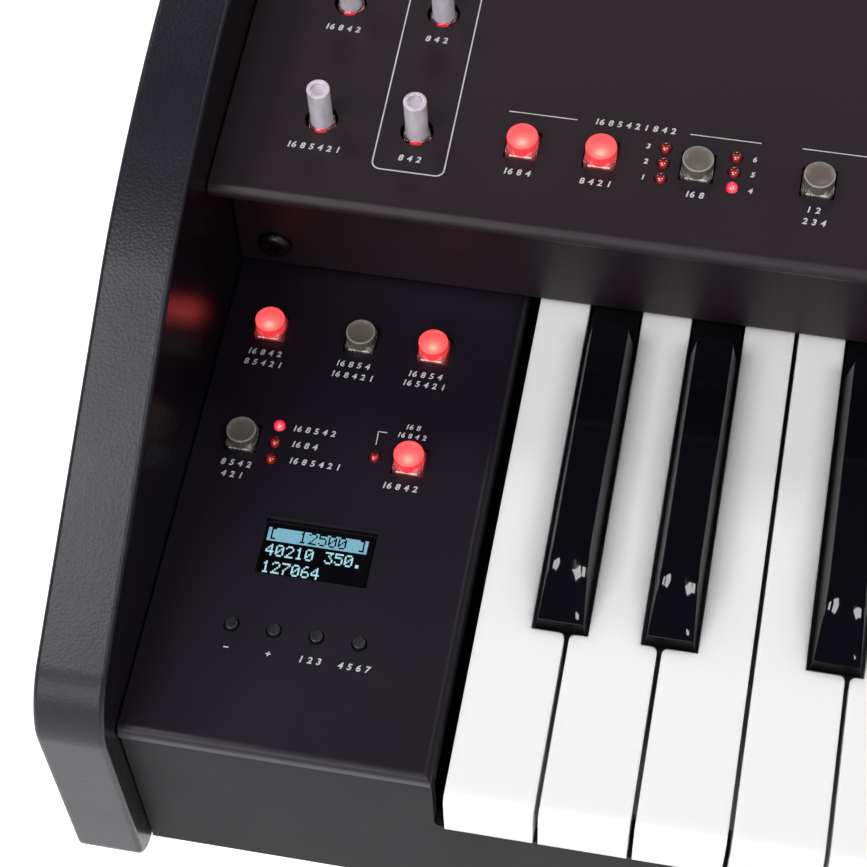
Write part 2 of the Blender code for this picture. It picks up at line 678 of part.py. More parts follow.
def build_buttons():
    """Lit push buttons of the console and the top panel."""
    lit = {"console_button_1", "console_button_3", "console_button_5",
           "panel_button_1", "panel_button_2"}
    spots = {f"console_button_{i}": CONSOLE_FRAME @ Matrix.Translation((x, y, 0))
             for i, (x, y) in enumerate(CONSOLE_BUTTONS, start=1)}
    spots.update({f"panel_button_{i}": PANEL_FRAME @ Matrix.Translation((x, PANEL_BUTTON_Y, 0))
                  for i, x in enumerate(PANEL_BUTTONS, start=1)})
    for name, frame in spots.items():
        place(name, button_solid(), CLEAR_RED if name in lit else CLEAR_GREY, frame)


def build_menu_buttons():
    """Small round menu buttons below the display."""
    for i, (x, y) in enumerate(menu_spots(), start=1):
        top, shoulder = MENU_DOME
        sections = [(ring(MENU_RADIUS, 12), -MENU_LENGTH),
                    (ring(MENU_RADIUS, 12), MENU_RISE * shoulder),
                    (ring(MENU_RADIUS * top, 12), MENU_RISE)]
        place(f"menu_button_{i}", Solid().stack(sections), PLASTIC,
              CONSOLE_FRAME @ Matrix.Translation((x, y, 0)))


def build_knobs():
    """Clear knob shafts, each with a collar and a recess in its top."""
    for name, (x, y) in zip(("assign_knob", "tone_knob", "volume_knob", "drive_knob"), KNOBS):
        sections = [(ring(KNOB_COLLAR, 14), -KNOB_TAIL), (ring(KNOB_COLLAR, 14), -FIT),
                    (ring(KNOB_RADIUS, 14), -FIT), (ring(KNOB_RADIUS, 14), KNOB_RISE - KNOB_EDGE),
                    (ring(KNOB_RADIUS - KNOB_EDGE, 14), KNOB_RISE),
                    (ring(KNOB_RECESS_RADIUS, 14), KNOB_RISE),
                    (ring(KNOB_RECESS_RADIUS, 14), KNOB_RISE - KNOB_RECESS)]
        place(name, Solid().stack(sections), CLEAR, PANEL_FRAME @ Matrix.Translation((x, y, 0)))


def build_drawbars():
    """Nine drawbars: a stem through the panel's slot under a finger grip."""
    finishes = {"b": BAR_BROWN, "w": IVORY, "k": PLASTIC}
    wide, deep, tall = DRAWBAR_CAP
    for i, x in enumerate(drawbar_spots()):
        sections = [(rectangle(*DRAWBAR_STEM), -DRAWBAR_TAIL),
                    (rectangle(*DRAWBAR_STEM), DRAWBAR_LIFT)]
        sections += [(rectangle(wide * a, deep * b), DRAWBAR_LIFT + tall * c)
                     for a, b, c in DRAWBAR_PROFILE]
        place(f"drawbar_{i + 1}", Solid().stack(sections), finishes[DRAWBAR_COLOURS[i]],
              PANEL_FRAME @ Matrix.Translation((x, DRAWBAR_Y, 0)))


def sharp_slot(white):
    """Middle of the slot for the black key after a white key, or None where there is none."""
    shift = SHARP_SHIFTS.get(white % 7)
    if shift is None or not 0 <= white < WHITE_COUNT - 1:
        return None
    return (white + 1) * WHITE_PITCH + shift


def tail_edges(white):
    """Left and right sides of a white key's tail."""
    left = white * WHITE_PITCH + KEY_GAP / 2
    right = (white + 1) * WHITE_PITCH - KEY_GAP / 2
    before, after = sharp_slot(white - 1), sharp_slot(white)
    if before is not None:
        left = before + SLOT_WIDTH / 2
    if after is not None:
        right = after - SLOT_WIDTH / 2
    return left, right


def white_outline(white, rear, inset=0.0):
    """Plan of a white key with its cut shoulders, from the first key's slot and the fascia."""
    left = white * WHITE_PITCH + KEY_GAP / 2 + inset
    right = (white + 1) * WHITE_PITCH - KEY_GAP / 2 - inset
    tail_left, tail_right = tail_edges(white)
    tail_left += inset
    tail_right -= inset
    front = -WHITE_REACH + 1.5 * inset
    shoulder = -WHITE_REACH + HEAD_LENGTH - inset
    points = [(left, front), (right, front)]
    radii = [0, 0]
    corner = 0.0 if inset else SHOULDER_RADIUS
    if tail_right < right:
        points += [(right, shoulder), (tail_right, shoulder)]
        radii += [corner, 0]
    points += [(tail_right, rear), (tail_left, rear)]
    radii += [0, 0]
    if tail_left > left:
        points += [(tail_left, shoulder), (left, shoulder)]
        radii += [0, corner]
    return rounded_path(points, radii, closed=True)


def pivot_notch():
    """Side view of the notch that seats a key on the pivot bead."""
    radius = BEAD_RADIUS + FIT
    floor = -WHITE_DEPTH - BEAD_RADIUS
    points = [(PIVOT_Y - radius, floor)]
    for step in range(NOTCH_STEPS + 1):
        angle = math.pi * (1 - step / NOTCH_STEPS)
        points.append((PIVOT_Y + radius * math.cos(angle), -PIVOT_DROP + radius * math.sin(angle)))
    return points + [(PIVOT_Y + radius, floor)]


def key_frame_matrix():
    """Frame at the first key's slot, the fascia plane and the white tops."""
    return Matrix.Translation((KEYS_LEFT, FASCIA_Y, KEY_TOP))


def add_white(solid, white):
    """White key with a rounded front."""
    solid.prism(white_outline(white, KEY_END), "Z", -WHITE_DEPTH, 0.0)
    front = -WHITE_REACH
    solid.round_edges(lambda co: abs(co.y - front) < 1e-6 and abs(co.z) < 1e-6
                      and abs(co.x - (white + 0.5) * WHITE_PITCH) < WHITE_PITCH / 2,
                      WHITE_NOSE, 2)


def black_section(y, top, bottom):
    """Cross-section of a black key at one place along it."""
    share = max(0.0, top) / BLACK_RISE
    base = BLACK_WIDTH / 2
    upper = base - (BLACK_WIDTH - BLACK_TOP_WIDTH) / 2 * share
    edge = BLACK_EDGE
    return [(-base, y, bottom), (base, y, bottom), (upper, y, top - edge), (upper - edge, y, top),
            (-upper + edge, y, top), (-upper, y, top - edge)]


def black_loops(tail_end):
    """Sections of a black key from its tail to its sloping front."""
    bottom = -WHITE_DEPTH + KEY_WALL
    high = -PIVOT_DROP
    back = PIVOT_Y + BEAD_RADIUS + 2 * FIT
    slope = BLACK_REACH - BLACK_SLOPE
    return [black_section(tail_end, -TAIL_DROP, high), black_section(back, -TAIL_DROP, high),
            black_section(back - FIT / 3, -TAIL_DROP, bottom),
            black_section(-BLACK_REAR + BLACK_EDGE, -TAIL_DROP, bottom),
            black_section(-BLACK_REAR, BLACK_RISE * BLACK_BACK_KNEE, bottom),
            black_section(-BLACK_REAR - BLACK_BACK_SLOPE, BLACK_RISE, bottom),
            black_section(-slope, BLACK_RISE, bottom),
            black_section(-slope - BLACK_SLOPE * BLACK_KNEE[0], BLACK_RISE * BLACK_KNEE[1], bottom),
            black_section(-BLACK_REACH, BLACK_RISE * BLACK_FOOT_SHARE, bottom)]


def add_black(solid, middle, tail_end):
    """Black key about the middle of its slot."""
    solid.loft([[(middle + x, y, z) for x, y, z in loop] for loop in black_loops(tail_end)])


def key_pivot():
    """Matrix that moves key-frame points into a frame on the pivot line."""
    return Matrix.Translation((0, PIVOT_Y, -PIVOT_DROP))


def place_key(name, solid, finish, cuts):
    """Place a moving key with its origin on the pivot line."""
    bmesh.ops.transform(solid.mesh, matrix=key_pivot().inverted(), verts=solid.mesh.verts)
    item = place(name, solid, finish, key_frame_matrix() @ key_pivot())
    combine(item, cuts, "DIFFERENCE", key_frame_matrix())


def build_moving_keys():
    """The lowest octave: one object for each key."""
    names = ("c", "d", "e", "f", "g", "a", "b")
    left, right = -KEY_GAP, (MOVING_WHITES + 1) * WHITE_PITCH
    for white in range(MOVING_WHITES):
        solid = Solid()
        add_white(solid, white)
        cuts = Solid().prism(pivot_notch(), "X", left, right)
        cuts.prism(white_outline(white, PIVOT_Y - NOTCH_CLEAR, KEY_WALL), "Z",
                   -WHITE_DEPTH - KEY_WALL, -KEY_SKIN)
        place_key(f"key_{names[white % 7]}", solid, IVORY, cuts)
    for white in range(MOVING_WHITES):
        middle = sharp_slot(white)
        if middle is None:
            continue
        solid = Solid()
        add_black(solid, middle, KEY_END)
        cuts = Solid().prism(pivot_notch(), "X", left, right)
        half = BLACK_TOP_WIDTH / 2 - KEY_WALL
        cuts.box((middle - half, -BLACK_REACH + BLACK_SLOPE, -WHITE_DEPTH),
                 (middle + half, -2 * BLACK_REAR, BLACK_RISE - KEY_SKIN))
        place_key(f"key_{names[white % 7]}_sharp", solid, EBONY, cuts)


def build_upper_keys():
    """The other keys: white ones and black ones, each set moulded on a strip behind the pivot."""
    whites = Solid()
    for white in range(MOVING_WHITES, WHITE_COUNT):
        add_white(whites, white)
    left = MOVING_WHITES * WHITE_PITCH + KEY_GAP
    right = WHITE_COUNT * WHITE_PITCH - KEY_GAP
    strip_top = -PIVOT_DROP - FIT
    strip = Solid().box((left, KEY_END - COMB_LENGTH, -WHITE_DEPTH + KEY_WALL / 2),
                        (right, KEY_END - FIT, strip_top - FIT))
    item = place("upper_white_keys", whites, IVORY, key_frame_matrix())
    combine(item, strip, "UNION", key_frame_matrix())
    notch = Solid().prism(pivot_notch(), "X", left - WHITE_PITCH, right + WHITE_PITCH)
    combine(item, notch, "DIFFERENCE", key_frame_matrix())

    blacks = Solid()
    middles = [sharp_slot(white) for white in range(MOVING_WHITES, WHITE_COUNT)]
    middles = [middle for middle in middles if middle is not None]
    for middle in middles:
        add_black(blacks, middle, KEY_END + COMB_LENGTH)
    strip = Solid().box((middles[0], KEY_END + FIT, -PIVOT_DROP + FIT),
                        (middles[-1], KEY_END + COMB_LENGTH - FIT, -TAIL_DROP - FIT))
    item = place("upper_black_keys", blacks, EBONY, key_frame_matrix())
    combine(item, strip, "UNION", key_frame_matrix())
    notch = Solid().prism(pivot_notch(), "X", left, right)
    combine(item, notch, "DIFFERENCE", key_frame_matrix())


def build_chassis():
    """Folded key chassis: two legs, a deck and the upstanding web with the pivot bead."""
    floor = CASE_FLOOR + FIT - KEY_TOP
    deck = -CHASSIS_DROP
    web = WEB_HALF
    start = math.acos(web / BEAD_RADIUS)
    bead = []
    for step in range(BEAD_STEPS + 1):
        angle = math.pi + start - (math.pi + 2 * start) * step / BEAD_STEPS
        bead.append((PIVOT_Y + BEAD_RADIUS * math.cos(angle),
                     -PIVOT_DROP + BEAD_RADIUS * math.sin(angle)))
    thin = CHASSIS_SHEET
    outline = [(-CHASSIS_FRONT, floor), (-CHASSIS_FRONT, deck), (PIVOT_Y - web, deck)]
    outline += bead
    outline += [(PIVOT_Y + web, deck), (CHASSIS_REAR, deck), (CHASSIS_REAR, floor),
                (CHASSIS_REAR - thin, floor), (CHASSIS_REAR - thin, deck - thin),
                (-CHASSIS_FRONT + thin, deck - thin), (-CHASSIS_FRONT + thin, floor)]
    solid = Solid().prism(outline, "X", FIT, KEYBOARD_WIDTH - FIT)
    place("key_chassis", solid, STEEL, key_frame_matrix())


def jack_spots():
    """X places of the jack sockets, from the inner left."""
    return [JACK_FIRST + i * JACK_PITCH for i in range(JACK_COUNT)]


def din_spots():
    """X places of the round multi-pin sockets, from the inner left."""
    return [DIN_FIRST + i * DIN_PITCH for i in range(DIN_COUNT)]


def socket_height(body):
    """Middle of a socket body that stands on the main board."""
    return CASE_FLOOR + MAIN_BOARD_LIFT + BOARD_THICKNESS + body[2] / 2


def build_main_board():
    """Board behind the back panel with the socket bodies, each with its open bore."""
    base = CASE_FLOOR + MAIN_BOARD_LIFT
    back = BACK_INNER_Y - PAN_FLANGE / 4 - 3 * FIT
    frame = Matrix.Translation((INNER_LEFT, 0, 0))
    board = Solid().box((MAIN_BOARD[0], back - MAIN_BOARD_DEPTH, base),
                        (MAIN_BOARD[1], back, base + BOARD_THICKNESS))
    item = place("main_board", board, BOARD_GREEN, frame)
    parts, cuts = Solid(), Solid()
    sink = base + BOARD_THICKNESS / 2
    proud = BACK_Y + NOSE_PROUD
    face = BACK_INNER_Y - FIT
    for body, spots in ((JACK_BODY, jack_spots()), (DIN_BODY, din_spots()), (USB_BODY, [USB_X])):
        for x in spots:
            parts.box((x - body[0] / 2, face - body[1], sink),
                      (x + body[0] / 2, face, base + BOARD_THICKNESS + body[2]))
    item = combine(item, parts, "UNION", frame)
    noses = Solid()
    for x in jack_spots():
        centre = (x, socket_height(JACK_BODY))
        noses.cylinder(centre, JACK_NOSE, "Y", face - 2 * FIT, proud, sides=12)
        cuts.cylinder(centre, JACK_BORE, "Y", proud - JACK_DEPTH, proud + FIT, sides=10)
    for x in din_spots():
        centre = (x, socket_height(DIN_BODY))
        noses.cylinder(centre, DIN_NOSE, "Y", face - 2 * FIT, proud, sides=14)
        cuts.cylinder(centre, DIN_BORE, "Y", proud - DIN_DEPTH, proud + FIT, sides=12)
    z = socket_height(USB_BODY)
    half_x, half_z = USB_BODY[0] / 2 - FIT, USB_BODY[2] / 2 - FIT
    noses.box((USB_X - half_x, face - 2 * FIT, z - half_z), (USB_X + half_x, proud, z + half_z))
    cuts.box((USB_X - USB_BORE[0] / 2, proud - USB_DEPTH, z - USB_BORE[1] / 2),
             (USB_X + USB_BORE[0] / 2, proud + FIT, z + USB_BORE[1] / 2))
    combine(item, noses, "UNION", frame)
    combine(item, cuts, "DIFFERENCE", frame)
    posts = Solid()
    for x in (MAIN_BOARD[0] + POST_INSET, MAIN_BOARD[1] - POST_INSET):
        for y in (back - MAIN_BOARD_DEPTH + POST_INSET, back - 5 * POST_INSET):
            posts.cylinder((x, y), STANDOFF_RADIUS, "Z", CASE_FLOOR + FIT, sink, sides=8)
    combine(item, posts, "UNION", frame)


def inlet_frame():
    """Frame at the middle of the power inlet, on the back panel's outer face."""
    return Matrix.Translation((INNER_RIGHT - INLET_X, BACK_Y, INLET_Z))


def build_back_panel():
    """Back plate with its openings for the sockets and the power inlet."""
    top = PANEL_REAR_Z - PANEL_REAR_FLANGE - FIT
    solid = Solid().box((PANEL_LEFT, BACK_INNER_Y, FOOT_HEIGHT), (PANEL_RIGHT, BACK_Y, top))
    item = place("back_panel", solid, PAINT_BLACK)
    cuts = Solid()
    near, far = BACK_INNER_Y - BACK_THICKNESS, BACK_Y + BACK_THICKNESS
    for x in jack_spots():
        cuts.cylinder((INNER_LEFT + x, socket_height(JACK_BODY)), JACK_NOSE + FIT, "Y",
                      near, far, sides=12)
    for x in din_spots():
        cuts.cylinder((INNER_LEFT + x, socket_height(DIN_BODY)), DIN_NOSE + FIT, "Y",
                      near, far, sides=14)
    x, z = INNER_LEFT + USB_X, socket_height(USB_BODY)
    cuts.box((x - USB_BODY[0] / 2, near, z - USB_BODY[2] / 2),
             (x + USB_BODY[0] / 2, far, z + USB_BODY[2] / 2))
    centre = inlet_frame().translation
    half_x, half_z = INLET_BODY[0] / 2 + FIT, INLET_BODY[1] / 2 + FIT
    cuts.box((centre.x - half_x, near, centre.z - half_z),
             (centre.x + half_x, far, centre.z + half_z))
    combine(item, cuts, "DIFFERENCE")


def build_power_inlet():
    """Power inlet with a plug recess, three pins and a well for its switch."""
    proud = INLET_PROUD
    half_x, half_z = INLET_BODY[0] / 2, INLET_BODY[1] / 2
    item = place("power_inlet",
                 Solid().box((-half_x, -INLET_DEPTH, -half_z), (half_x, proud / 2, half_z)),
                 PLASTIC, inlet_frame())
    wide, tall = INLET_FLANGE
    flange = Solid().box((-wide / 2, FIT, -tall / 2), (wide / 2, proud, tall / 2))
    combine(item, flange, "UNION", inlet_frame())
    cuts = Solid()
    plug_x, plug_z = INLET_PLUG[0] / 2, INLET_PLUG[1] / 2
    cuts.box((INLET_PLUG_X - plug_x, proud - INLET_PLUG_DEPTH, -plug_z),
             (INLET_PLUG_X + plug_x, proud + FIT, plug_z))
    half = ROCKER_WIDTH / 2 + ROCKER_CLEAR
    reach = ROCKER_HALF + 2 * ROCKER_CLEAR
    cuts.box((ROCKER_X - half, -ROCKER_WELL, -reach), (ROCKER_X + half, proud + FIT, reach))
    combine(item, cuts, "DIFFERENCE", inlet_frame())
    pins = Solid()
    floor = proud - INLET_PLUG_DEPTH
    for step, z in ((-1, -PIN_STAGGER), (0, PIN_STAGGER), (1, -PIN_STAGGER)):
        x = INLET_PLUG_X + step * PIN_SPREAD
        pins.box((x - PIN_SIZE[0] / 2, floor - 2 * FIT, z - PIN_SIZE[1] / 2),
                 (x + PIN_SIZE[0] / 2, floor + PIN_LENGTH, z + PIN_SIZE[1] / 2))
    combine(item, pins, "UNION", inlet_frame())


def build_rocker():
    """Rocker of the power switch, which tips about a line through its middle."""
    half, proud = ROCKER_HALF, ROCKER_PROUD
    raised = proud + math.tan(ROCKER_TILT) * half
    belly = [(-ROCKER_BELLY * math.cos(math.radians(turn)),
              ROCKER_BELLY * math.sin(math.radians(turn))) for turn in (-32, -16, 0, 16, 32)]
    outline = [(-ROCKER_ROOT, -half), *belly, (-ROCKER_ROOT, half),
               (raised, half), (proud, 0.0), (raised, -half)]
    solid = Solid().prism(outline, "X", -ROCKER_WIDTH / 2, ROCKER_WIDTH / 2)
    frame = inlet_frame() @ Matrix.Translation((ROCKER_X, 0, 0))
    place("power_switch", solid, PLASTIC, frame @ Matrix.Rotation(-ROCKER_TILT, 4, "X"))


def build_organ():
    """Build every piece of the organ."""
    clear_scene()
    build_cheeks()
    build_pan()
    build_feet()
    build_front_rail()
    build_top_panel()
    build_console()
    build_display()
    build_console_board()
    build_top_board()
    build_buttons()
    build_menu_buttons()
    build_knobs()
    build_drawbars()
    build_chassis()
    build_moving_keys()
    build_upper_keys()
    build_main_board()
    build_back_panel()
    build_power_inlet()
    build_rocker()


build_organ()
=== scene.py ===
"""Looks of the portable drawbar organ.

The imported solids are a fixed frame. Each class below models the pieces of one sub-assembly at
their places in that frame and gives them their finishes. Solids that stay in view get a finish
of their own. Units are metres; +X runs from the bass end to the treble end, +Y away from the
player, and +Z up.
"""
from __future__ import annotations

import json
import logging
import math
from contextlib import contextmanager
from dataclasses import dataclass, field
from enum import Enum
from typing import Callable, ClassVar, Iterable, Iterator, Sequence

import bmesh
import bpy
from mathutils import Matrix, Vector


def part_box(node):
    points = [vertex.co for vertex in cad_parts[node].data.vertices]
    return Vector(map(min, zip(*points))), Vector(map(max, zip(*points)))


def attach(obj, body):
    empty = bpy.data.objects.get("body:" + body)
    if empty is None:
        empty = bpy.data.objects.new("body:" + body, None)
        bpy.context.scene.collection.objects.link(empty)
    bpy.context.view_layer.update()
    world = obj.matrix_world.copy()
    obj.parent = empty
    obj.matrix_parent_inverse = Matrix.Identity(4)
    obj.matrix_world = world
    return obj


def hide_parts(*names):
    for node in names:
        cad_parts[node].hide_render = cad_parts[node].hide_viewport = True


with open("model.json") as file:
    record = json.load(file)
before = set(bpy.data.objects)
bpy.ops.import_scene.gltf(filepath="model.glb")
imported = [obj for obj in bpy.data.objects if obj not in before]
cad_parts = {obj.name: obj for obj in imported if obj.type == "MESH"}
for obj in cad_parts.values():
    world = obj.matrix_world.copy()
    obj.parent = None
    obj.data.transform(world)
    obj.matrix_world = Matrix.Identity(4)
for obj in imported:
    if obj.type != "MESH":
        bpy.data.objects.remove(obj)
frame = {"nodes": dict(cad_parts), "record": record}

log = logging.getLogger("organ")

Colour = tuple[float, float, float]
Spot = tuple[float, float]
Point = Sequence[float]
Item = bpy.types.Object
Socket = bpy.types.NodeSocket
FaceTest = Callable[[Vector, Vector], bool]
EdgeTest = Callable[[Vector, Vector], bool]
PointTest = Callable[[Vector], bool]

CASE = "case"


class Slot(Enum):
    """Material slots of the record."""

    CHEEK = "cheek_black"
    CASE = "case_black"
    KEY_WHITE = "key_white"
    KEY_BLACK = "key_black"
    CHASSIS = "chassis_steel"
    BOARD = "board_green"
    BUTTON_LIT = "button_red"
    BUTTON_DARK = "button_grey"
    KNOB = "knob_clear"
    BAR_BROWN = "bar_brown"
    BAR_WHITE = "bar_white"
    BAR_BLACK = "bar_black"
    DISPLAY = "display_blue"
    FITTING = "fitting_black"
    FOOT = "foot_rubber"


class Axis(Enum):
    """Direction that a rod runs in, with the turn that lays it there."""

    X = (0.0, math.pi / 2, 0.0)
    Y = (math.pi / 2, 0.0, 0.0)
    Z = (0.0, 0.0, 0.0)


class Glow(Enum):
    """State of a lamp or of a lit push button."""

    LIT = "lit"
    DARK = "dark"


@dataclass(frozen=True)
class Layout:
    """Places that the pieces are set out from, in the organ's frame."""

    inner_left: float = -0.4657
    inner_right: float = 0.4657
    front_y: float = -0.170
    fascia_y: float = -0.020
    back_y: float = 0.166
    rear_y: float = 0.170
    foot_height: float = 0.006
    key_top: float = 0.078
    panel_rise: float = 0.0584
    panel_tilt: float = math.radians(2.3)
    fit: float = 0.0003
    sheet: float = 0.0012
    keys_left: float = -0.3828
    white_pitch: float = 0.0235
    key_gap: float = 0.0012
    button_hole: float = 0.0088
    lamp_hole: float = 0.0017

    @property
    def panel_left(self) -> float:
        """Left edge of the console and of the top panel."""
        return self.inner_left + self.fit

    @property
    def console(self) -> Matrix:
        """Frame on the console's surface, at its left edge and the fascia."""
        return Matrix.Translation((self.panel_left, self.fascia_y, self.key_top))

    @property
    def panel(self) -> Matrix:
        """Frame on the top panel's surface, at its left edge and the fascia."""
        place = (self.panel_left, self.fascia_y, self.key_top + self.panel_rise)
        return Matrix.Translation(place) @ Matrix.Rotation(self.panel_tilt, 4, "X")

    @property
    def manual(self) -> Matrix:
        """Frame on the white key tops, at the first key's left slot and the fascia."""
        return Matrix.Translation((self.keys_left, self.fascia_y, self.key_top))


LAYOUT = Layout()
# Points that lie closer than this, in metres, are at the same place.
NEAR = 1e-5
# A normal with more than this along an axis faces that way.
FACING = 0.9


def along(**place: float) -> EdgeTest:
    """Test for the edges whose two ends share the coordinates given by axis name."""
    wanted = [("xyz".index(axis), value) for axis, value in place.items()]
    return lambda a, b: all(abs(end[i] - value) < NEAR for end in (a, b) for i, value in wanted)


def over(height: float) -> EdgeTest:
    """Test for the edges that lie above a height."""
    return lambda a, b: a.z > height and b.z > height


def either(*tests: EdgeTest) -> EdgeTest:
    """Test for the edges that pass one of several tests."""
    return lambda a, b: any(test(a, b) for test in tests)


def end_cap(middle: Vector, normal: Vector) -> bool:
    """Test for the face that closes the top of a rod on the origin."""
    return normal.z > FACING and middle.xy.length < 1e-4


def stations(stem: str, surface: Matrix, spots: Iterable[Spot]) -> list[tuple[str, Matrix]]:
    """Numbered names and places for what stands at spots of a surface."""
    return [(f"{stem}_{i}", surface @ Matrix.Translation((x, y, 0.0)))
            for i, (x, y) in enumerate(spots, start=1)]


def share(value: float, start: float, width: float) -> float:
    """Share of a width that a value lies past a start, from 0 to 1."""
    return min(1.0, max(0.0, (value - start) / width))


class Bench:
    """Blender's modelling operators, used on one object at a time."""

    @staticmethod
    def clear() -> None:
        """Deselect every object."""
        bpy.ops.object.select_all(action="DESELECT")

    @staticmethod
    def take(item: Item) -> None:
        """Select one object alone and make it the active one.

        Args:
            item: Object to work on.
        """
        Bench.clear()
        item.select_set(True)
        bpy.context.view_layer.objects.active = item

    @staticmethod
    def settle(item: Item) -> Item:
        """Move an object's place, turn and scale into its mesh.

        Args:
            item: Object whose own place is to become the origin.

        Returns:
            The same object, at the origin.
        """
        Bench.take(item)
        bpy.ops.object.transform_apply(location=True, rotation=True, scale=True)
        return item

    @staticmethod
    def named(name: str) -> Item:
        """Name the object that an operator has just added.

        Args:
            name: Name for the object and its mesh.

        Returns:
            The named object.
        """
        item = bpy.context.active_object
        item.name = name
        item.data.name = name
        return item

    @staticmethod
    def block(name: str, low: Point, high: Point) -> Item:
        """Add a block between two corners.

        Args:
            name: Name for the block.
            low: Lowest corner.
            high: Highest corner.

        Returns:
            The block.
        """
        Bench.clear()
        middle = [(a + b) / 2 for a, b in zip(low, high)]
        size = [b - a for a, b in zip(low, high)]
        bpy.ops.mesh.primitive_cube_add(size=1.0, location=middle, scale=size)
        return Bench.settle(Bench.named(name))

    @staticmethod
    def rod(name: str, centre: Spot, radius: float, low: float, high: float,
            axis: Axis = Axis.Z, sides: int = 48) -> Item:
        """Add a rod along an axis.

        Args:
            name: Name for the rod.
            centre: Middle in the other two coordinates, in alphabetical order.
            radius: Radius of the rod.
            low: Where the rod starts along its axis.
            high: Where the rod ends along its axis.
            axis: Direction that the rod runs in.
            sides: Number of sides.

        Returns:
            The rod.
        """
        Bench.clear()
        middle = (low + high) / 2
        a, b = centre
        place = {Axis.X: (middle, a, b), Axis.Y: (a, middle, b), Axis.Z: (a, b, middle)}[axis]
        bpy.ops.mesh.primitive_cylinder_add(vertices=sides, radius=radius, depth=high - low,
                                            location=place, rotation=axis.value)
        return Bench.settle(Bench.named(name))

    @staticmethod
    def plate(name: str, low: Spot, high: Spot, height: float, columns: int = 1,
              rows: int = 1) -> Item:
        """Add a flat grid of faces that looks up.

        Args:
            name: Name for the plate.
            low: Lowest corner in X and Y.
            high: Highest corner in X and Y.
            height: Height of the plate.
            columns: Faces along X.
            rows: Faces along Y.

        Returns:
            The plate.
        """
        Bench.clear()
        middle = ((low[0] + high[0]) / 2, (low[1] + high[1]) / 2, height)
        size = (high[0] - low[0], high[1] - low[1], 1.0)
        bpy.ops.mesh.primitive_grid_add(x_subdivisions=columns, y_subdivisions=rows, size=1.0,
                                        location=middle)
        item = Bench.named(name)
        item.scale = size
        return Bench.settle(item)

    @staticmethod
    @contextmanager
    def editing(item: Item, kind: str = "FACE") -> Iterator[bmesh.types.BMesh]:
        """Keep an object in edit mode with nothing selected at the start.

        Args:
            item: Object to edit.
            kind: What is selected: FACE, EDGE or VERT.

        Yields:
            The mesh in edit mode.
        """
        Bench.take(item)
        bpy.ops.object.mode_set(mode="EDIT")
        bpy.ops.mesh.select_mode(type=kind)
        bpy.ops.mesh.select_all(action="DESELECT")
        yield bmesh.from_edit_mesh(item.data)
        bpy.ops.object.mode_set(mode="OBJECT")

    @staticmethod
    def pick(item: Item, kind: str, test: Callable[..., bool]) -> int:
        """Select what passes a test, in edit mode.

        Args:
            item: Object in edit mode.
            kind: What is selected: FACE, EDGE or VERT.
            test: Told a face's middle and normal, an edge's two ends, or a point's place.

        Returns:
            Number of faces, edges or points selected.

        Raises:
            ValueError: If no edge passes.
        """
        bpy.ops.mesh.select_mode(type=kind)
        bpy.ops.mesh.select_all(action="DESELECT")
        mesh = bmesh.from_edit_mesh(item.data)
        if kind == "FACE":
            mesh.normal_update()
            found = [face for face in mesh.faces if test(face.calc_center_median(), face.normal)]
        elif kind == "EDGE":
            found = [edge for edge in mesh.edges if test(edge.verts[0].co, edge.verts[1].co)]
            if not found:
                raise ValueError(f"no edge of {item.name} passes the test")
        else:
            found = [vertex for vertex in mesh.verts if test(vertex.co)]
        for one in found:
            one.select_set(True)
        bmesh.update_edit_mesh(item.data)
        return len(found)

    @staticmethod
    def round_edges(item: Item, width: float, steps: int, test: EdgeTest) -> None:
        """Bevel the edges that pass a test.

        Args:
            item: Object to work on.
            width: Distance from each edge to the bevel's borders.
            steps: Faces across the bevel.
            test: Told the places of an edge's two ends.
        """
        with Bench.editing(item, "EDGE"):
            Bench.pick(item, "EDGE", test)
            bpy.ops.mesh.bevel(offset=width, segments=steps, affect="EDGES", profile=0.5)

    @staticmethod
    def split(item: Item, place: Point, normal: Point, drop: bool = False) -> None:
        """Divide the faces that a plane crosses.

        Args:
            item: Object to divide.
            place: A point of the plane.
            normal: Direction across the plane.
            drop: Cut away the side that the normal points to, and close the cut.
        """
        with Bench.editing(item):
            bpy.ops.mesh.select_all(action="SELECT")
            bpy.ops.mesh.bisect(plane_co=place, plane_no=normal, use_fill=drop, clear_outer=drop)

    @staticmethod
    def extrude(item: Item, test: FaceTest, move: Point) -> None:
        """Pull the faces that pass a test out of an object.

        Args:
            item: Object to work on.
            test: Told a face's middle and its normal.
            move: How far, and which way, the faces go.
        """
        with Bench.editing(item):
            Bench.pick(item, "FACE", test)
            bpy.ops.mesh.extrude_region_move(TRANSFORM_OT_translate={"value": tuple(move)})

    @staticmethod
    def nudge(item: Item, test: PointTest, move: Point,
              stretch: Point = (1.0, 1.0, 1.0)) -> None:
        """Scale and shift the points that pass a test, in edit mode.

        Args:
            item: Object in edit mode.
            test: Told a point's place.
            move: Shift of the points.
            stretch: Scale about their middle.
        """
        Bench.pick(item, "VERT", test)
        if tuple(stretch) != (1.0, 1.0, 1.0):
            bpy.ops.transform.resize(value=tuple(stretch))
        bpy.ops.transform.translate(value=tuple(move))

    @staticmethod
    def dish(item: Item, test: FaceTest, steps: Sequence[tuple[float, float]]) -> None:
        """Inset a face again and again, each time to its own depth.

        Args:
            item: Object to work on.
            test: Finds the first face from its middle and normal.
            steps: Inset width and depth of each step; a negative depth goes inwards.
        """
        with Bench.editing(item):
            Bench.pick(item, "FACE", test)
            for width, depth in steps:
                bpy.ops.mesh.inset(thickness=width, depth=depth)

    @staticmethod
    def drop_faces(item: Item, test: FaceTest) -> Item:
        """Delete the faces that pass a test.

        Args:
            item: Object to work on.
            test: Told a face's middle and its normal.

        Returns:
            The same object.
        """
        with Bench.editing(item):
            if Bench.pick(item, "FACE", test):
                bpy.ops.mesh.delete(type="FACE")
        return item

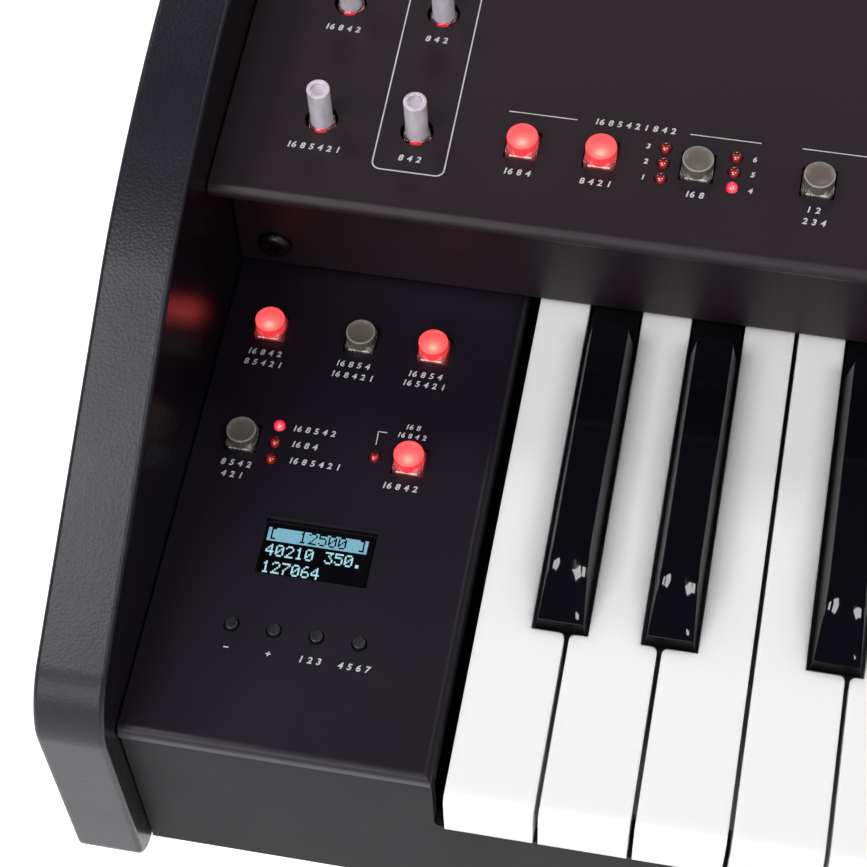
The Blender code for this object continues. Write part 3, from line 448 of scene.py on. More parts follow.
    @staticmethod
    def apply(item: Item, kind: str, **settings: object) -> Item:
        """Add a modifier and apply it.

        Args:
            item: Object to work on.
            kind: Type of the modifier.
            **settings: Values for the modifier's own properties.

        Returns:
            The same object.
        """
        Bench.take(item)
        modifier = item.modifiers.new(kind.lower(), kind)
        for key, value in settings.items():
            setattr(modifier, key, value)
        bpy.ops.object.modifier_apply(modifier=modifier.name)
        return item

    @staticmethod
    def soften(item: Item, width: float, steps: int = 2, angle: float = 50.0) -> None:
        """Bevel the edges that turn by more than an angle, in degrees."""
        Bench.apply(item, "BEVEL", width=width, segments=steps, limit_method="ANGLE",
                    angle_limit=math.radians(angle))

    @staticmethod
    def carve(item: Item, cutters: Sequence[Item]) -> None:
        """Cut other objects out of an object, and remove them.

        Args:
            item: Object that is cut.
            cutters: Objects that cut, and don't touch each other.
        """
        tool = Bench.join(cutters, f"{item.name}_cutter")
        Bench.apply(item, "BOOLEAN", operation="DIFFERENCE", solver="EXACT", object=tool)
        Bench.discard(tool)

    @staticmethod
    def discard(item: Item) -> None:
        """Remove an object that has done its work."""
        bpy.data.objects.remove(item, do_unlink=True)

    @staticmethod
    def round_punches(spots: Iterable[Spot], radius: float, depth: float,
                      sides: int) -> list[Item]:
        """Rods that cut round holes in a sheet at height zero."""
        return [Bench.rod("cut", spot, radius, -depth, depth, sides=sides) for spot in spots]

    @staticmethod
    def square_punches(spots: Iterable[Spot], size: float, depth: float) -> list[Item]:
        """Blocks that cut square holes in a sheet at height zero."""
        half = size / 2
        return [Bench.block("cut", (x - half, y - half, -depth), (x + half, y + half, depth))
                for x, y in spots]

    @staticmethod
    def join(items: Sequence[Item], name: str) -> Item:
        """Join several objects in one.

        Args:
            items: Objects to join.
            name: Name for the result.

        Returns:
            The joined object.
        """
        Bench.take(items[0])
        for item in items:
            item.select_set(True)
        if len(items) > 1:
            bpy.ops.object.join()
        return Bench.named(name)

    @staticmethod
    def copy(item: Item, name: str, place: Matrix | None = None) -> Item:
        """Copy an object with a mesh of its own.

        Args:
            item: Object to copy.
            name: Name for the copy.
            place: Where the copy goes, from where the object is.

        Returns:
            The copy, with its place in its mesh.
        """
        twin = item.copy()
        twin.data = item.data.copy()
        twin.name = name
        twin.data.name = name
        bpy.context.collection.objects.link(twin)
        return Bench.move(twin, place) if place else twin

    @staticmethod
    def move(item: Item, place: Matrix) -> Item:
        """Move an object by a matrix that ends up in its mesh."""
        item.matrix_world = place
        return Bench.settle(item)

    @staticmethod
    def smooth(item: Item, angle: float = 35.0) -> Item:
        """Shade an object smooth, apart from its sharp edges.

        Args:
            item: Object to shade.
            angle: Smallest turn, in degrees, that stays sharp.

        Returns:
            The same object.
        """
        Bench.take(item)
        bpy.ops.object.shade_smooth_by_angle(angle=math.radians(angle))
        return Bench.apply(item, "WEIGHTED_NORMAL", keep_sharp=True, weight=80)

    @staticmethod
    def mark(item: Item, middle: Point, scale: float) -> None:
        """Give a piece a UV map that holds each point's offset from a middle, in X and Y.

        Args:
            item: Object to mark.
            middle: Point that becomes the map's origin.
            scale: Length that becomes one.
        """
        layer = item.data.uv_layers.new(name="dial")
        for loop in item.data.loops:
            spot = item.data.vertices[loop.vertex_index].co
            layer.data[loop.index].uv = ((spot.x - middle[0]) / scale,
                                         (spot.y - middle[1]) / scale)


class Shader:
    """Node material while it is put together."""

    def __init__(self, name: str) -> None:
        """Start from a plain Principled surface.

        Args:
            name: Name for the material.
        """
        self.material = bpy.data.materials.new(name)
        self.material.use_nodes = True
        self.tree = self.material.node_tree
        self.surface = self.tree.nodes["Principled BSDF"]

    def levels(self, values: dict[str, object]) -> None:
        """Set the surface's own sockets.

        Args:
            values: Socket names and their values.
        """
        for key, value in values.items():
            if isinstance(value, tuple) and len(value) == 3:
                value = (*value, 1.0)
            self.surface.inputs[key].default_value = value

    def node(self, kind: str, values: dict[str, object] | None = None,
             **settings: object) -> bpy.types.Node:
        """Add a node.

        Args:
            kind: Node type, without its ShaderNode prefix.
            values: Input sockets and their values.
            **settings: Values for the node's own properties.

        Returns:
            The node.
        """
        node = self.tree.nodes.new(f"ShaderNode{kind}")
        for key, value in settings.items():
            setattr(node, key, value)
        for key, value in (values or {}).items():
            node.inputs[key].default_value = value
        return node

    def wire(self, source: Socket, target: Socket | str) -> None:
        """Link an output to an input, or to one of the surface's by its name."""
        named = isinstance(target, str)
        self.tree.links.new(source, self.surface.inputs[target] if named else target)

    def place(self, stretch: Point = (1.0, 1.0, 1.0)) -> Socket:
        """Object coordinates.

        Args:
            stretch: Scale of the pattern along each axis.

        Returns:
            The coordinates' output.
        """
        source = self.node("TexCoord")
        mapping = self.node("Mapping", {"Scale": tuple(stretch)})
        self.wire(source.outputs["Object"], mapping.inputs["Vector"])
        return mapping.outputs["Vector"]

    def noise(self, scale: float, detail: float = 2.0, roughness: float = 0.5,
              stretch: Point = (1.0, 1.0, 1.0)) -> Socket:
        """Noise on Object coordinates.

        Args:
            scale: Waves for each metre.
            detail: Finer layers.
            roughness: Strength of the finer layers.
            stretch: Scale of the pattern along each axis.

        Returns:
            The noise's level.
        """
        node = self.node("TexNoise", {"Scale": scale, "Detail": detail, "Roughness": roughness})
        self.wire(self.place(stretch), node.inputs["Vector"])
        return node.outputs["Fac"]

    def cells(self, scale: float) -> Socket:
        """Distance to the nearest of many scattered points.

        Args:
            scale: Cells for each metre.

        Returns:
            The distance.
        """
        node = self.node("TexVoronoi", {"Scale": scale, "Randomness": 1.0})
        self.wire(self.place(), node.inputs["Vector"])
        return node.outputs["Distance"]

    def ramp(self, level: Socket, stops: Sequence[tuple[float, Colour]]) -> Socket:
        """Colours along a level.

        Args:
            level: Level from 0 to 1.
            stops: Positions and colours.

        Returns:
            The colour.
        """
        node = self.node("ValToRGB")
        marks = node.color_ramp.elements
        while len(marks) < len(stops):
            marks.new(0.5)
        for mark, (position, colour) in zip(marks, stops):
            mark.position = position
            mark.color = (*colour, 1.0)
        self.wire(level, node.inputs["Fac"])
        return node.outputs["Color"]

    def mottle(self, level: Socket, colour: Colour, shades: Spot, stops: Spot,
               target: str = "Base Color") -> None:
        """Let a colour run between two shades along a level.

        Args:
            level: Level from 0 to 1.
            colour: The colour.
            shades: How bright the colour is at the two stops.
            stops: Levels of the two stops.
            target: Socket of the surface that takes the colour.
        """
        ends = [(stop, tuple(part * shade for part in colour))
                for stop, shade in zip(stops, shades)]
        self.wire(self.ramp(level, ends), target)

    def span(self, level: Socket, low: float, high: float,
             source: tuple[float, float] = (0.0, 1.0)) -> Socket:
        """Spread a level between two values.

        Args:
            level: Level to spread.
            low: Result at the source's low end.
            high: Result at the source's high end.
            source: Range of the level that is spread.

        Returns:
            The result.
        """
        node = self.node("MapRange", {"From Min": source[0], "From Max": source[1],
                                      "To Min": low, "To Max": high})
        self.wire(level, node.inputs["Value"])
        return node.outputs["Result"]

    def relief(self, height: Socket, depth: float) -> None:
        """Raise the surface by a pattern.

        Args:
            height: Pattern, from 0 to 1.
            depth: Height of the pattern, in metres.
        """
        node = self.node("Bump", {"Strength": 1.0, "Distance": depth})
        self.wire(height, node.inputs["Height"])
        self.wire(node.outputs["Normal"], "Normal")

    def streaks(self, scale: float, stretch: Point) -> Socket:
        """Noise that is drawn out along one direction of the piece's own map.

        Args:
            scale: Waves for each unit of the map.
            stretch: Scale of the pattern along the map's directions.

        Returns:
            The noise's level.
        """
        chart = self.node("UVMap", uv_map="dial")
        mapping = self.node("Mapping", {"Scale": tuple(stretch)})
        node = self.node("TexNoise", {"Scale": scale, "Detail": 3.0, "Roughness": 0.55})
        self.wire(chart.outputs["UV"], mapping.inputs["Vector"])
        self.wire(mapping.outputs["Vector"], node.inputs["Vector"])
        return node.outputs["Fac"]

    def dial(self, centre: Spot) -> Socket:
        """Distance from a point of the piece's own map.

        Args:
            centre: Point of the map.

        Returns:
            The distance.
        """
        chart = self.node("UVMap", uv_map="dial")
        far = self.node("VectorMath", operation="DISTANCE")
        far.inputs[1].default_value = (*centre, 0.0)
        self.wire(chart.outputs["UV"], far.inputs[0])
        return far.outputs["Value"]


@dataclass(frozen=True)
class Finish:
    """A surface that pieces are finished in."""

    name: str
    made: ClassVar[dict[str, bpy.types.Material]] = {}

    def material(self) -> bpy.types.Material:
        """The finish's material, which is built once.

        Returns:
            The material.
        """
        if self.name not in Finish.made:
            shader = Shader(self.name)
            self.build(shader)
            Finish.made[self.name] = shader.material
        return Finish.made[self.name]

    def build(self, shader: Shader) -> None:
        """Put the nodes together in a shader."""
        raise NotImplementedError


@dataclass(frozen=True)
class PowderCoat(Finish):
    """Sheet metal under a fine satin powder coat."""

    colour: Colour = (0.0135, 0.0077, 0.0112)
    roughness: float = 0.44
    grain: float = 0.000010
    gloss: float = 0.32

    def build(self, shader: Shader) -> None:
        """Fine orange-peel grain with a slow change of gloss.

        Args:
            shader: Material to build in.
        """
        shader.levels({"Specular IOR Level": self.gloss})
        cloud = shader.noise(9.0, 3.0)
        shader.mottle(cloud, self.colour, (0.90, 1.12), (0.3, 0.7))
        gloss = shader.noise(55.0, 4.0)
        shader.wire(shader.span(gloss, self.roughness - 0.04, self.roughness + 0.05), "Roughness")
        shader.relief(shader.noise(1900.0, 2.0, 0.6), self.grain)


@dataclass(frozen=True)
class GrainedLacquer(Finish):
    """Black cheek finish with a fine leather-like grain."""

    colour: Colour = (0.0068, 0.0065, 0.0115)
    roughness: float = 0.38
    gloss: float = 0.32

    def build(self, shader: Shader) -> None:
        """Small pebbles over a slow change of gloss.

        Args:
            shader: Material to build in.
        """
        shader.levels({"Specular IOR Level": self.gloss})
        pebble = shader.cells(1300.0)
        shader.mottle(pebble, self.colour, (1.2, 0.85), (0.15, 0.8))
        gloss = shader.noise(40.0, 4.0)
        shader.wire(shader.span(gloss, self.roughness - 0.04, self.roughness + 0.05), "Roughness")
        shader.relief(pebble, 0.000045)


@dataclass(frozen=True)
class KeyPlastic(Finish):
    """Polished key covering."""

    colour: Colour
    roughness: float
    variation: float = 0.02
    gloss: float = 0.5
    depth: float = 0.0

    def build(self, shader: Shader) -> None:
        """Faint clouding, and gloss that fingers have dulled in places.

        Args:
            shader: Material to build in.
        """
        shader.levels({"Specular IOR Level": self.gloss})
        if self.depth:
            shader.levels({"Subsurface Weight": 1.0, "Subsurface Scale": self.depth})
            shader.surface.inputs["Subsurface Radius"].default_value = (1.0, 0.95, 0.9)
        cloud = shader.noise(14.0, 3.0)
        shader.mottle(cloud, self.colour, (1 - self.variation, 1.0), (0.35, 0.65))
        wear = shader.noise(70.0, 5.0, 0.6)
        shader.wire(shader.span(wear, self.roughness * 0.8, self.roughness * 1.3), "Roughness")


@dataclass(frozen=True)
class LitCap(Finish):
    """Translucent button top that is lit from below."""

    glow: Glow = Glow.LIT

    def build(self, shader: Shader) -> None:
        """Hot spot low on the face from the light inside, and a paler rim that is a painted
        highlight.

        Args:
            shader: Material to build in.
        """
        far = shader.dial((0.05, -0.42))
        grain = shader.noise(2600.0, 1.0)
        shader.wire(shader.span(grain, 0.26, 0.40), "Roughness")
        shader.levels({"Specular IOR Level": 0.4})
        if self.glow is Glow.LIT:
            # Lit face: the hot spot is the light inside; the brighter last stop at the rim is a
            # painted highlight.
            tone = shader.ramp(shader.span(far, 0.0, 1.0, (0.0, 1.45)), [
                (0.0, (1.0, 0.27, 0.20)), (0.12, (1.0, 0.19, 0.15)), (0.32, (0.8, 0.088, 0.080)),
                (0.62, (0.6, 0.048, 0.050)), (0.92, (0.5, 0.036, 0.042)),
                (1.0, (0.6, 0.075, 0.076))])
            shader.levels({"Base Color": (0.10, 0.01, 0.012), "Emission Strength": 2.3})
            shader.wire(tone, "Emission Color")
            return
        # Unlit face: the pale ring at the rim is a painted highlight on the rounded edge.
        tone = shader.ramp(shader.span(shader.dial((0.0, 0.0)), 0.0, 1.0, (0.0, 1.0)), [
            (0.0, (0.112, 0.086, 0.070)), (0.60, (0.112, 0.095, 0.082)),
            (0.84, (0.125, 0.113, 0.102)), (0.93, (0.22, 0.21, 0.19)),
            (1.0, (0.29, 0.275, 0.255))])
        shader.wire(tone, "Base Color")


@dataclass(frozen=True)
class ClearBody(Finish):
    """Clear plastic of a button's side or base, with painted reflection streaks for what shows
    through it.
    """

    dark: Colour
    pale: Colour
    glow: Colour
    strength: float
    stretch: Point = (3.5, 0.8, 1.0)
    spread: float = 0.55

    def build(self, shader: Shader) -> None:
        """Painted reflection streaks between a dark and a pale tone, with some of the button's own
        light inside.

        Args:
            shader: Material to build in.
        """
        # The streaks are painted reflection; on lit buttons they also vary the button's own light.
        streak = shader.streaks(2.2, self.stretch)
        shader.wire(shader.ramp(streak, [(0.38, self.dark), (0.62, self.pale)]), "Base Color")
        shader.wire(shader.span(streak, 0.22, 0.06), "Roughness")
        shader.levels({"Specular IOR Level": 0.6, "Coat Weight": 0.6, "Coat Roughness": 0.03,
                       "Emission Strength": self.strength})
        shader.mottle(streak, self.glow, (self.spread, 1.0), (0.35, 0.65), "Emission Color")


@dataclass(frozen=True)
class LampDome(Finish):
    """Red lamp under its round top."""

    glow: Glow = Glow.DARK

    def build(self, shader: Shader) -> None:
        """Deep red with a warm crescent of painted reflection low in the unlit dome, or lit
        through.

        Args:
            shader: Material to build in.
        """
        shader.levels({"Base Color": (0.03, 0.0, 0.001), "Roughness": 0.10,
                       "Specular IOR Level": 0.7, "Coat Weight": 1.0, "Coat Roughness": 0.02,
                       "Emission Strength": 1.0})
        if self.glow is Glow.LIT:
            far = shader.span(shader.dial((0.15, -0.50)), 0.0, 1.0, (0.0, 1.5))
            stops = [(0.0, (1.0, 0.50, 0.46)), (0.25, (1.0, 0.14, 0.18)),
                     (0.6, (0.95, 0.02, 0.07)), (1.0, (0.70, 0.006, 0.045))]
        else:
            # Unlit lamp: the emission paints a reflected warm crescent low in the dome and deep
            # red above; it is no light of its own.
            far = shader.span(shader.dial((0.0, -0.60)), 0.0, 1.0, (0.0, 1.5))
            stops = [(0.0, (0.75, 0.080, 0.035)), (0.24, (0.34, 0.018, 0.012)),
                     (0.48, (0.070, 0.001, 0.003)), (1.0, (0.020, 0.0, 0.001))]
        shader.wire(shader.ramp(far, stops), "Emission Color")


@dataclass(frozen=True)
class KnobResin(Finish):
    """Clear moulded resin of the knobs."""

    tint: Colour
    clear: float
    roughness: float

    def build(self, shader: Shader) -> None:
        """Painted highlight streaks along the shaft, and a little cloud.

        Args:
            shader: Material to build in.
        """
        # Vertical streaks in the colour are painted highlights of the clear shaft; they also vary
        # the roughness.
        streak_highlight = shader.noise(420.0, 3.0, 0.5, (1.0, 1.0, 0.35))
        shader.mottle(streak_highlight, self.tint, (0.80, 1.0), (0.35, 0.65))
        shader.levels({"Transmission Weight": self.clear, "IOR": 1.47, "Specular IOR Level": 0.6,
                       "Coat Weight": 0.4, "Coat Roughness": 0.03})
        shader.wire(shader.span(streak_highlight, self.roughness * 0.6, self.roughness * 1.4), "Roughness")


@dataclass(frozen=True)
class Bead(Finish):
    """Red light inside a knob's foot."""

    def build(self, shader: Shader) -> None:
        """Hot middle in a red bead.

        Args:
            shader: Material to build in.
        """
        tone = shader.ramp(shader.span(shader.dial((0.0, 0.0)), 0.0, 1.0, (0.0, 1.0)), [
            (0.0, (1.0, 0.22, 0.20)), (0.6, (0.95, 0.06, 0.07)), (1.0, (0.60, 0.01, 0.02))])
        shader.wire(tone, "Emission Color")
        shader.levels({"Base Color": (0.3, 0.01, 0.01), "Emission Strength": 1.6})


@dataclass(frozen=True)
class Ink(Finish):
    """Screen-printed marking."""

    colour: Colour = (0.52, 0.52, 0.53)

    def build(self, shader: Shader) -> None:
        """Matt ink with slightly uneven cover.

        Args:
            shader: Material to build in.
        """
        cover = shader.noise(2400.0, 2.0)
        shader.mottle(cover, self.colour, (0.78, 1.0), (0.3, 0.6))
        shader.levels({"Roughness": 0.6, "Specular IOR Level": 0.2})


@dataclass(frozen=True)
class LitDots(Finish):
    """Light blue dots of the display."""

    colour: Colour
    strength: float

    def build(self, shader: Shader) -> None:
        """Even light with a slight flicker from dot to dot.

        Args:
            shader: Material to build in.
        """
        cell = shader.noise(2300.0, 0.0)
        shader.mottle(cell, self.colour, (0.82, 1.0), (0.35, 0.6), "Emission Color")
        shader.levels({"Base Color": (0.02, 0.03, 0.035), "Emission Strength": self.strength,
                       "Roughness": 0.3})


@dataclass(frozen=True)
class Glass(Finish):
    """Black display glass."""

    def build(self, shader: Shader) -> None:
        """Near black with a faint cloud in its gloss.

        Args:
            shader: Material to build in.
        """
        haze = shader.noise(160.0, 2.0)
        shader.wire(shader.ramp(haze, [(0.3, (0.0018, 0.0018, 0.0022)),
                                       (0.7, (0.0030, 0.0028, 0.0034))]), "Base Color")
        shader.wire(shader.span(haze, 0.10, 0.18), "Roughness")
        shader.levels({"Specular IOR Level": 0.35})


@dataclass(frozen=True)
class Metal(Finish):
    """Plated or blackened metal."""

    colour: Colour
    roughness: float
    brushed: Point = (1.0, 1.0, 1.0)

    def build(self, shader: Shader) -> None:
        """Fine scratches and a slow change of tone.

        Args:
            shader: Material to build in.
        """
        shader.levels({"Metallic": 1.0})
        cloud = shader.noise(60.0, 4.0)
        shader.mottle(cloud, self.colour, (0.8, 1.0), (0.3, 0.7))
        scratch = shader.noise(1400.0, 3.0, 0.6, self.brushed)
        shader.wire(shader.span(scratch, self.roughness * 0.75, self.roughness * 1.35),
                    "Roughness")
        shader.relief(scratch, 0.000004)


@dataclass(frozen=True)
class Moulded(Finish):
    """Moulded plastic or rubber with a fine texture."""

    colour: Colour
    roughness: float
    grain: float = 0.00001

    def build(self, shader: Shader) -> None:
        """Fine spark-eroded grain.

        Args:
            shader: Material to build in.
        """
        cloud = shader.noise(120.0, 3.0)
        shader.mottle(cloud, self.colour, (0.85, 1.0), (0.3, 0.7))
        shader.wire(shader.span(cloud, self.roughness * 0.9, self.roughness * 1.1), "Roughness")
        shader.relief(shader.noise(2200.0, 2.0), self.grain)


@dataclass(frozen=True)
class Laminate(Finish):
    """Circuit board under a dark solder mask."""

    def build(self, shader: Shader) -> None:
        """Copper tracks that show as paler bands under the mask.

        Args:
            shader: Material to build in.
        """
        tracks = shader.node("TexBrick", {"Scale": 130.0, "Mortar Size": 0.03,
                                          "Color1": (0.004, 0.016, 0.009, 1.0),
                                          "Color2": (0.006, 0.022, 0.012, 1.0),
                                          "Mortar": (0.012, 0.042, 0.022, 1.0)})
        shader.wire(shader.place(), tracks.inputs["Vector"])
        shader.wire(tracks.outputs["Color"], "Base Color")
        shader.wire(shader.span(tracks.outputs["Fac"], 0.30, 0.45), "Roughness")
        shader.relief(tracks.outputs["Fac"], 0.00002)


COAT = PowderCoat("case_powder_coat")
# The console's copy of the case coat is darker: painted shade where the cheek and the panel's
# overhang shade the console.
SHADED_CONSOLE_COAT = PowderCoat("console_powder_coat_shaded", (0.0070, 0.0044, 0.0095), roughness=0.42,
                          gloss=0.31)
RAIL_COAT = PowderCoat("rail_powder_coat", (0.0120, 0.0105, 0.0125), roughness=0.6, gloss=0.12)
LACQUER = GrainedLacquer("cheek_lacquer")
# The cheeks' inner faces take a darker copy of the black finish: painted shade, with lower
# roughness for sharper reflections.
SHADED_CHEEK_INSIDE = PowderCoat("cheek_inside_shaded", (0.0038, 0.0026, 0.0040), roughness=0.27, grain=0.000003,
                          gloss=0.30)
IVORY = KeyPlastic("white_key", (0.83, 0.83, 0.83), 0.20, variation=0.015, depth=0.003)
EBONY = KeyPlastic("black_key", (0.0030, 0.0028, 0.0048), 0.06, variation=0.2)
FLANK = KeyPlastic("black_key_side", (0.0040, 0.0037, 0.0046), 0.30, variation=0.2, gloss=0.04)
CAP_LIT = LitCap("button_face_lit", Glow.LIT)
CAP_DARK = LitCap("button_face_dark", Glow.DARK)
# Button sides and bases: dark and pale streaks are painted reflection in the clear plastic; lit
# ones also carry the button's own light.
SIDE_LIT = ClearBody("button_side_lit", (0.12, 0.022, 0.025), (0.17, 0.045, 0.048),
                     (1.0, 0.040, 0.048), 0.95, stretch=(5.0, 0.6, 1.0), spread=0.86)
SIDE_DARK = ClearBody("button_side_dark", (0.100, 0.088, 0.078), (0.135, 0.122, 0.110),
                      (0.0, 0.0, 0.0), 0.0, stretch=(5.0, 0.6, 1.0))
BASE_LIT = ClearBody("button_base_lit", (0.012, 0.006, 0.006), (0.30, 0.13, 0.13),
                     (0.20, 0.020, 0.025), 0.8)
BASE_DARK = ClearBody("button_base_dark", (0.010, 0.010, 0.009), (0.23, 0.22, 0.205),
                      (0.0, 0.0, 0.0), 0.0)
# The base's front edge is painted pale: a painted highlight along the edge; on lit buttons it also
# carries the button's own light.
EDGE_HIGHLIGHT_LIT = ClearBody("button_edge_highlight_lit", (0.45, 0.20, 0.20), (0.80, 0.60, 0.58),
                     (0.70, 0.26, 0.27), 0.8)
EDGE_HIGHLIGHT_DARK = ClearBody("button_edge_highlight_dark", (0.16, 0.15, 0.14), (0.70, 0.68, 0.65),
                      (0.0, 0.0, 0.0), 0.0)
SHAFT = KnobResin("knob_shaft", (0.86, 0.80, 0.88), clear=0.35, roughness=0.16)
COLLAR = KnobResin("knob_collar", (0.60, 0.56, 0.60), clear=0.92, roughness=0.05)
BEAD = Bead("knob_bead")
LAMP_LIT = LampDome("lamp_lit", Glow.LIT)
LAMP_DARK_PAINTED_GLOW = LampDome("lamp_dark_painted_glow", Glow.DARK)
INK = Ink("white_ink")
DOTS = LitDots("display_dots", (0.42, 0.76, 0.88), 1.0)
BAR_DOTS = LitDots("display_bar", (0.20, 0.45, 0.58), 1.0)
GLASS = Glass("display_glass")
NICKEL = Metal("nickel", (0.62, 0.61, 0.58), 0.25)
ZINC = Metal("zinc_sheet", (0.55, 0.56, 0.57), 0.38, brushed=(0.05, 1.0, 1.0))
BLACK_OXIDE = Metal("black_oxide", (0.055, 0.055, 0.058), 0.32)
MOULDING = Moulded("black_moulding", (0.022, 0.022, 0.024), 0.45)
MENU_PLASTIC = Moulded("menu_button", (0.014, 0.014, 0.016), 0.34)
RUBBER = Moulded("rubber", (0.018, 0.018, 0.019), 0.80, grain=0.00003)
BOARD = Laminate("circuit_board")
BAR_FINISHES = {
    "b": (Moulded("drawbar_brown", (0.105, 0.032, 0.014), 0.24, grain=0.000003), Slot.BAR_BROWN),
    "w": (KeyPlastic("drawbar_white", (0.80, 0.80, 0.78), 0.22, 0.02), Slot.BAR_WHITE),
    "k": (Moulded("drawbar_black", (0.014, 0.014, 0.015), 0.24, grain=0.000003), Slot.BAR_BLACK),
}


@dataclass
class Assembly:
    """One part of the organ, and how its pieces join the frame."""

    most_finishes: ClassVar[int] = 4

    def fit(self, item: Item, finish: Finish | Sequence[Finish], slot: Slot, body: str = CASE,
            stands_for: Iterable[str] = ()) -> Item:
        """Finish a piece and let it ride on a body.

        Args:
            item: Finished shape, with its place in its mesh.
            finish: Its finish, or one for each of its material numbers.
            slot: The record's slot that the finish belongs to; not used.
            body: Body that the piece moves with.
            stands_for: Solids that the piece takes the place of.

        Returns:
            The same piece.
        """
        finishes = [finish] if isinstance(finish, Finish) else list(finish)
        numbers = [face.material_index for face in item.data.polygons]
        item.data.materials.clear()
        for one in finishes:
            item.data.materials.append(one.material())
        if len(finishes) > 1:
            item.data.polygons.foreach_set("material_index", numbers)
        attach(item, body)
        names = list(stands_for)
        if names:
            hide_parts(*names)
        log.info("%s: %s on %s, %d faces", type(self).__name__, item.name, body,
                 len(item.data.polygons))
        return item

    @staticmethod
    def number(item: Item, choose: Callable[[Vector, Vector], int]) -> Item:
        """Choose a material number for every face.

        Args:
            item: Piece to number.
            choose: Told a face's middle and normal, and answers with the number.

        Returns:
            The same piece.
        """
        while len(item.data.materials) < Assembly.most_finishes:
            item.data.materials.append(None)
        for face in item.data.polygons:
            face.material_index = choose(face.center, face.normal)
        return item

    def stamp(self, pattern: Item, name: str, place: Matrix, finish: Finish | Sequence[Finish],
              slot: Slot, node: str | None = None) -> None:
        """Fit a copy of a pattern, in place of a moving solid where one is named.

        Args:
            pattern: Shape at the origin.
            name: Name for the copy.
            place: Where the copy goes.
            finish: Its finish, or one for each of its material numbers.
            slot: The record's slot that the finish belongs to.
            node: Solid that the copy replaces and rides with.
        """
        twin = Bench.copy(pattern, name, place)
        self.fit(twin, finish, slot, node or CASE, [node] if node else ())


@dataclass
class Cheeks(Assembly):
    """The two end boards, with their long slope from the crown to the nose."""

    thickness: float = 0.018
    crown_rise: float = 0.0845
    slope_run: float = 0.1398
    slope_foot: float = 0.0163
    nose_radius: float = 0.022
    crown_radius: float = 0.196
    corner: float = 0.008
    edge: float = 0.0014

    def build(self) -> None:
        """Model one cheek and place it at each end."""
        low_z, crown_z = LAYOUT.foot_height, LAYOUT.key_top + self.crown_rise
        front, rear = LAYOUT.front_y, LAYOUT.rear_y
        foot_z = LAYOUT.key_top + self.slope_foot
        crown_y = front + self.slope_run
        cheek = Bench.block("left_cheek_board", (-self.thickness, front, low_z),
                            (0.0, rear, crown_z))
        slope = math.atan2(crown_z - foot_z, self.slope_run)
        Bench.split(cheek, (0.0, crown_y, crown_z), (0.0, -math.sin(slope), math.cos(slope)),
                    drop=True)
        nose_reach = self.nose_radius * math.tan((math.pi / 2 - slope) / 2)
        crown_reach = self.crown_radius * math.tan(slope / 2)
        for reach, steps, y, z in ((crown_reach, 24, crown_y, crown_z),
                                   (nose_reach, 14, front, foot_z),
                                   (self.corner, 8, rear, crown_z), (self.corner, 8, rear, low_z),
                                   (self.corner, 8, front, low_z)):
            Bench.round_edges(cheek, reach, steps, along(y=y, z=z))
        Bench.soften(cheek, self.edge, 4, 60.0)
        Bench.smooth(cheek, 40.0)
        twin = Bench.copy(cheek, "right_cheek_board",
                          Matrix.Translation((LAYOUT.inner_right + self.thickness, 0.0, 0.0)))
        Bench.move(cheek, Matrix.Translation((LAYOUT.inner_left, 0.0, 0.0)))
        # Inner faces take the darker copy of the finish: painted shade.
        self.number(cheek, lambda middle, normal: int(normal.x > FACING))
        self.number(twin, lambda middle, normal: int(normal.x < -FACING))
        self.fit(cheek, (LACQUER, SHADED_CHEEK_INSIDE), Slot.CHEEK, stands_for=["left_cheek"])
        self.fit(twin, (LACQUER, SHADED_CHEEK_INSIDE), Slot.CHEEK, stands_for=["right_cheek"])


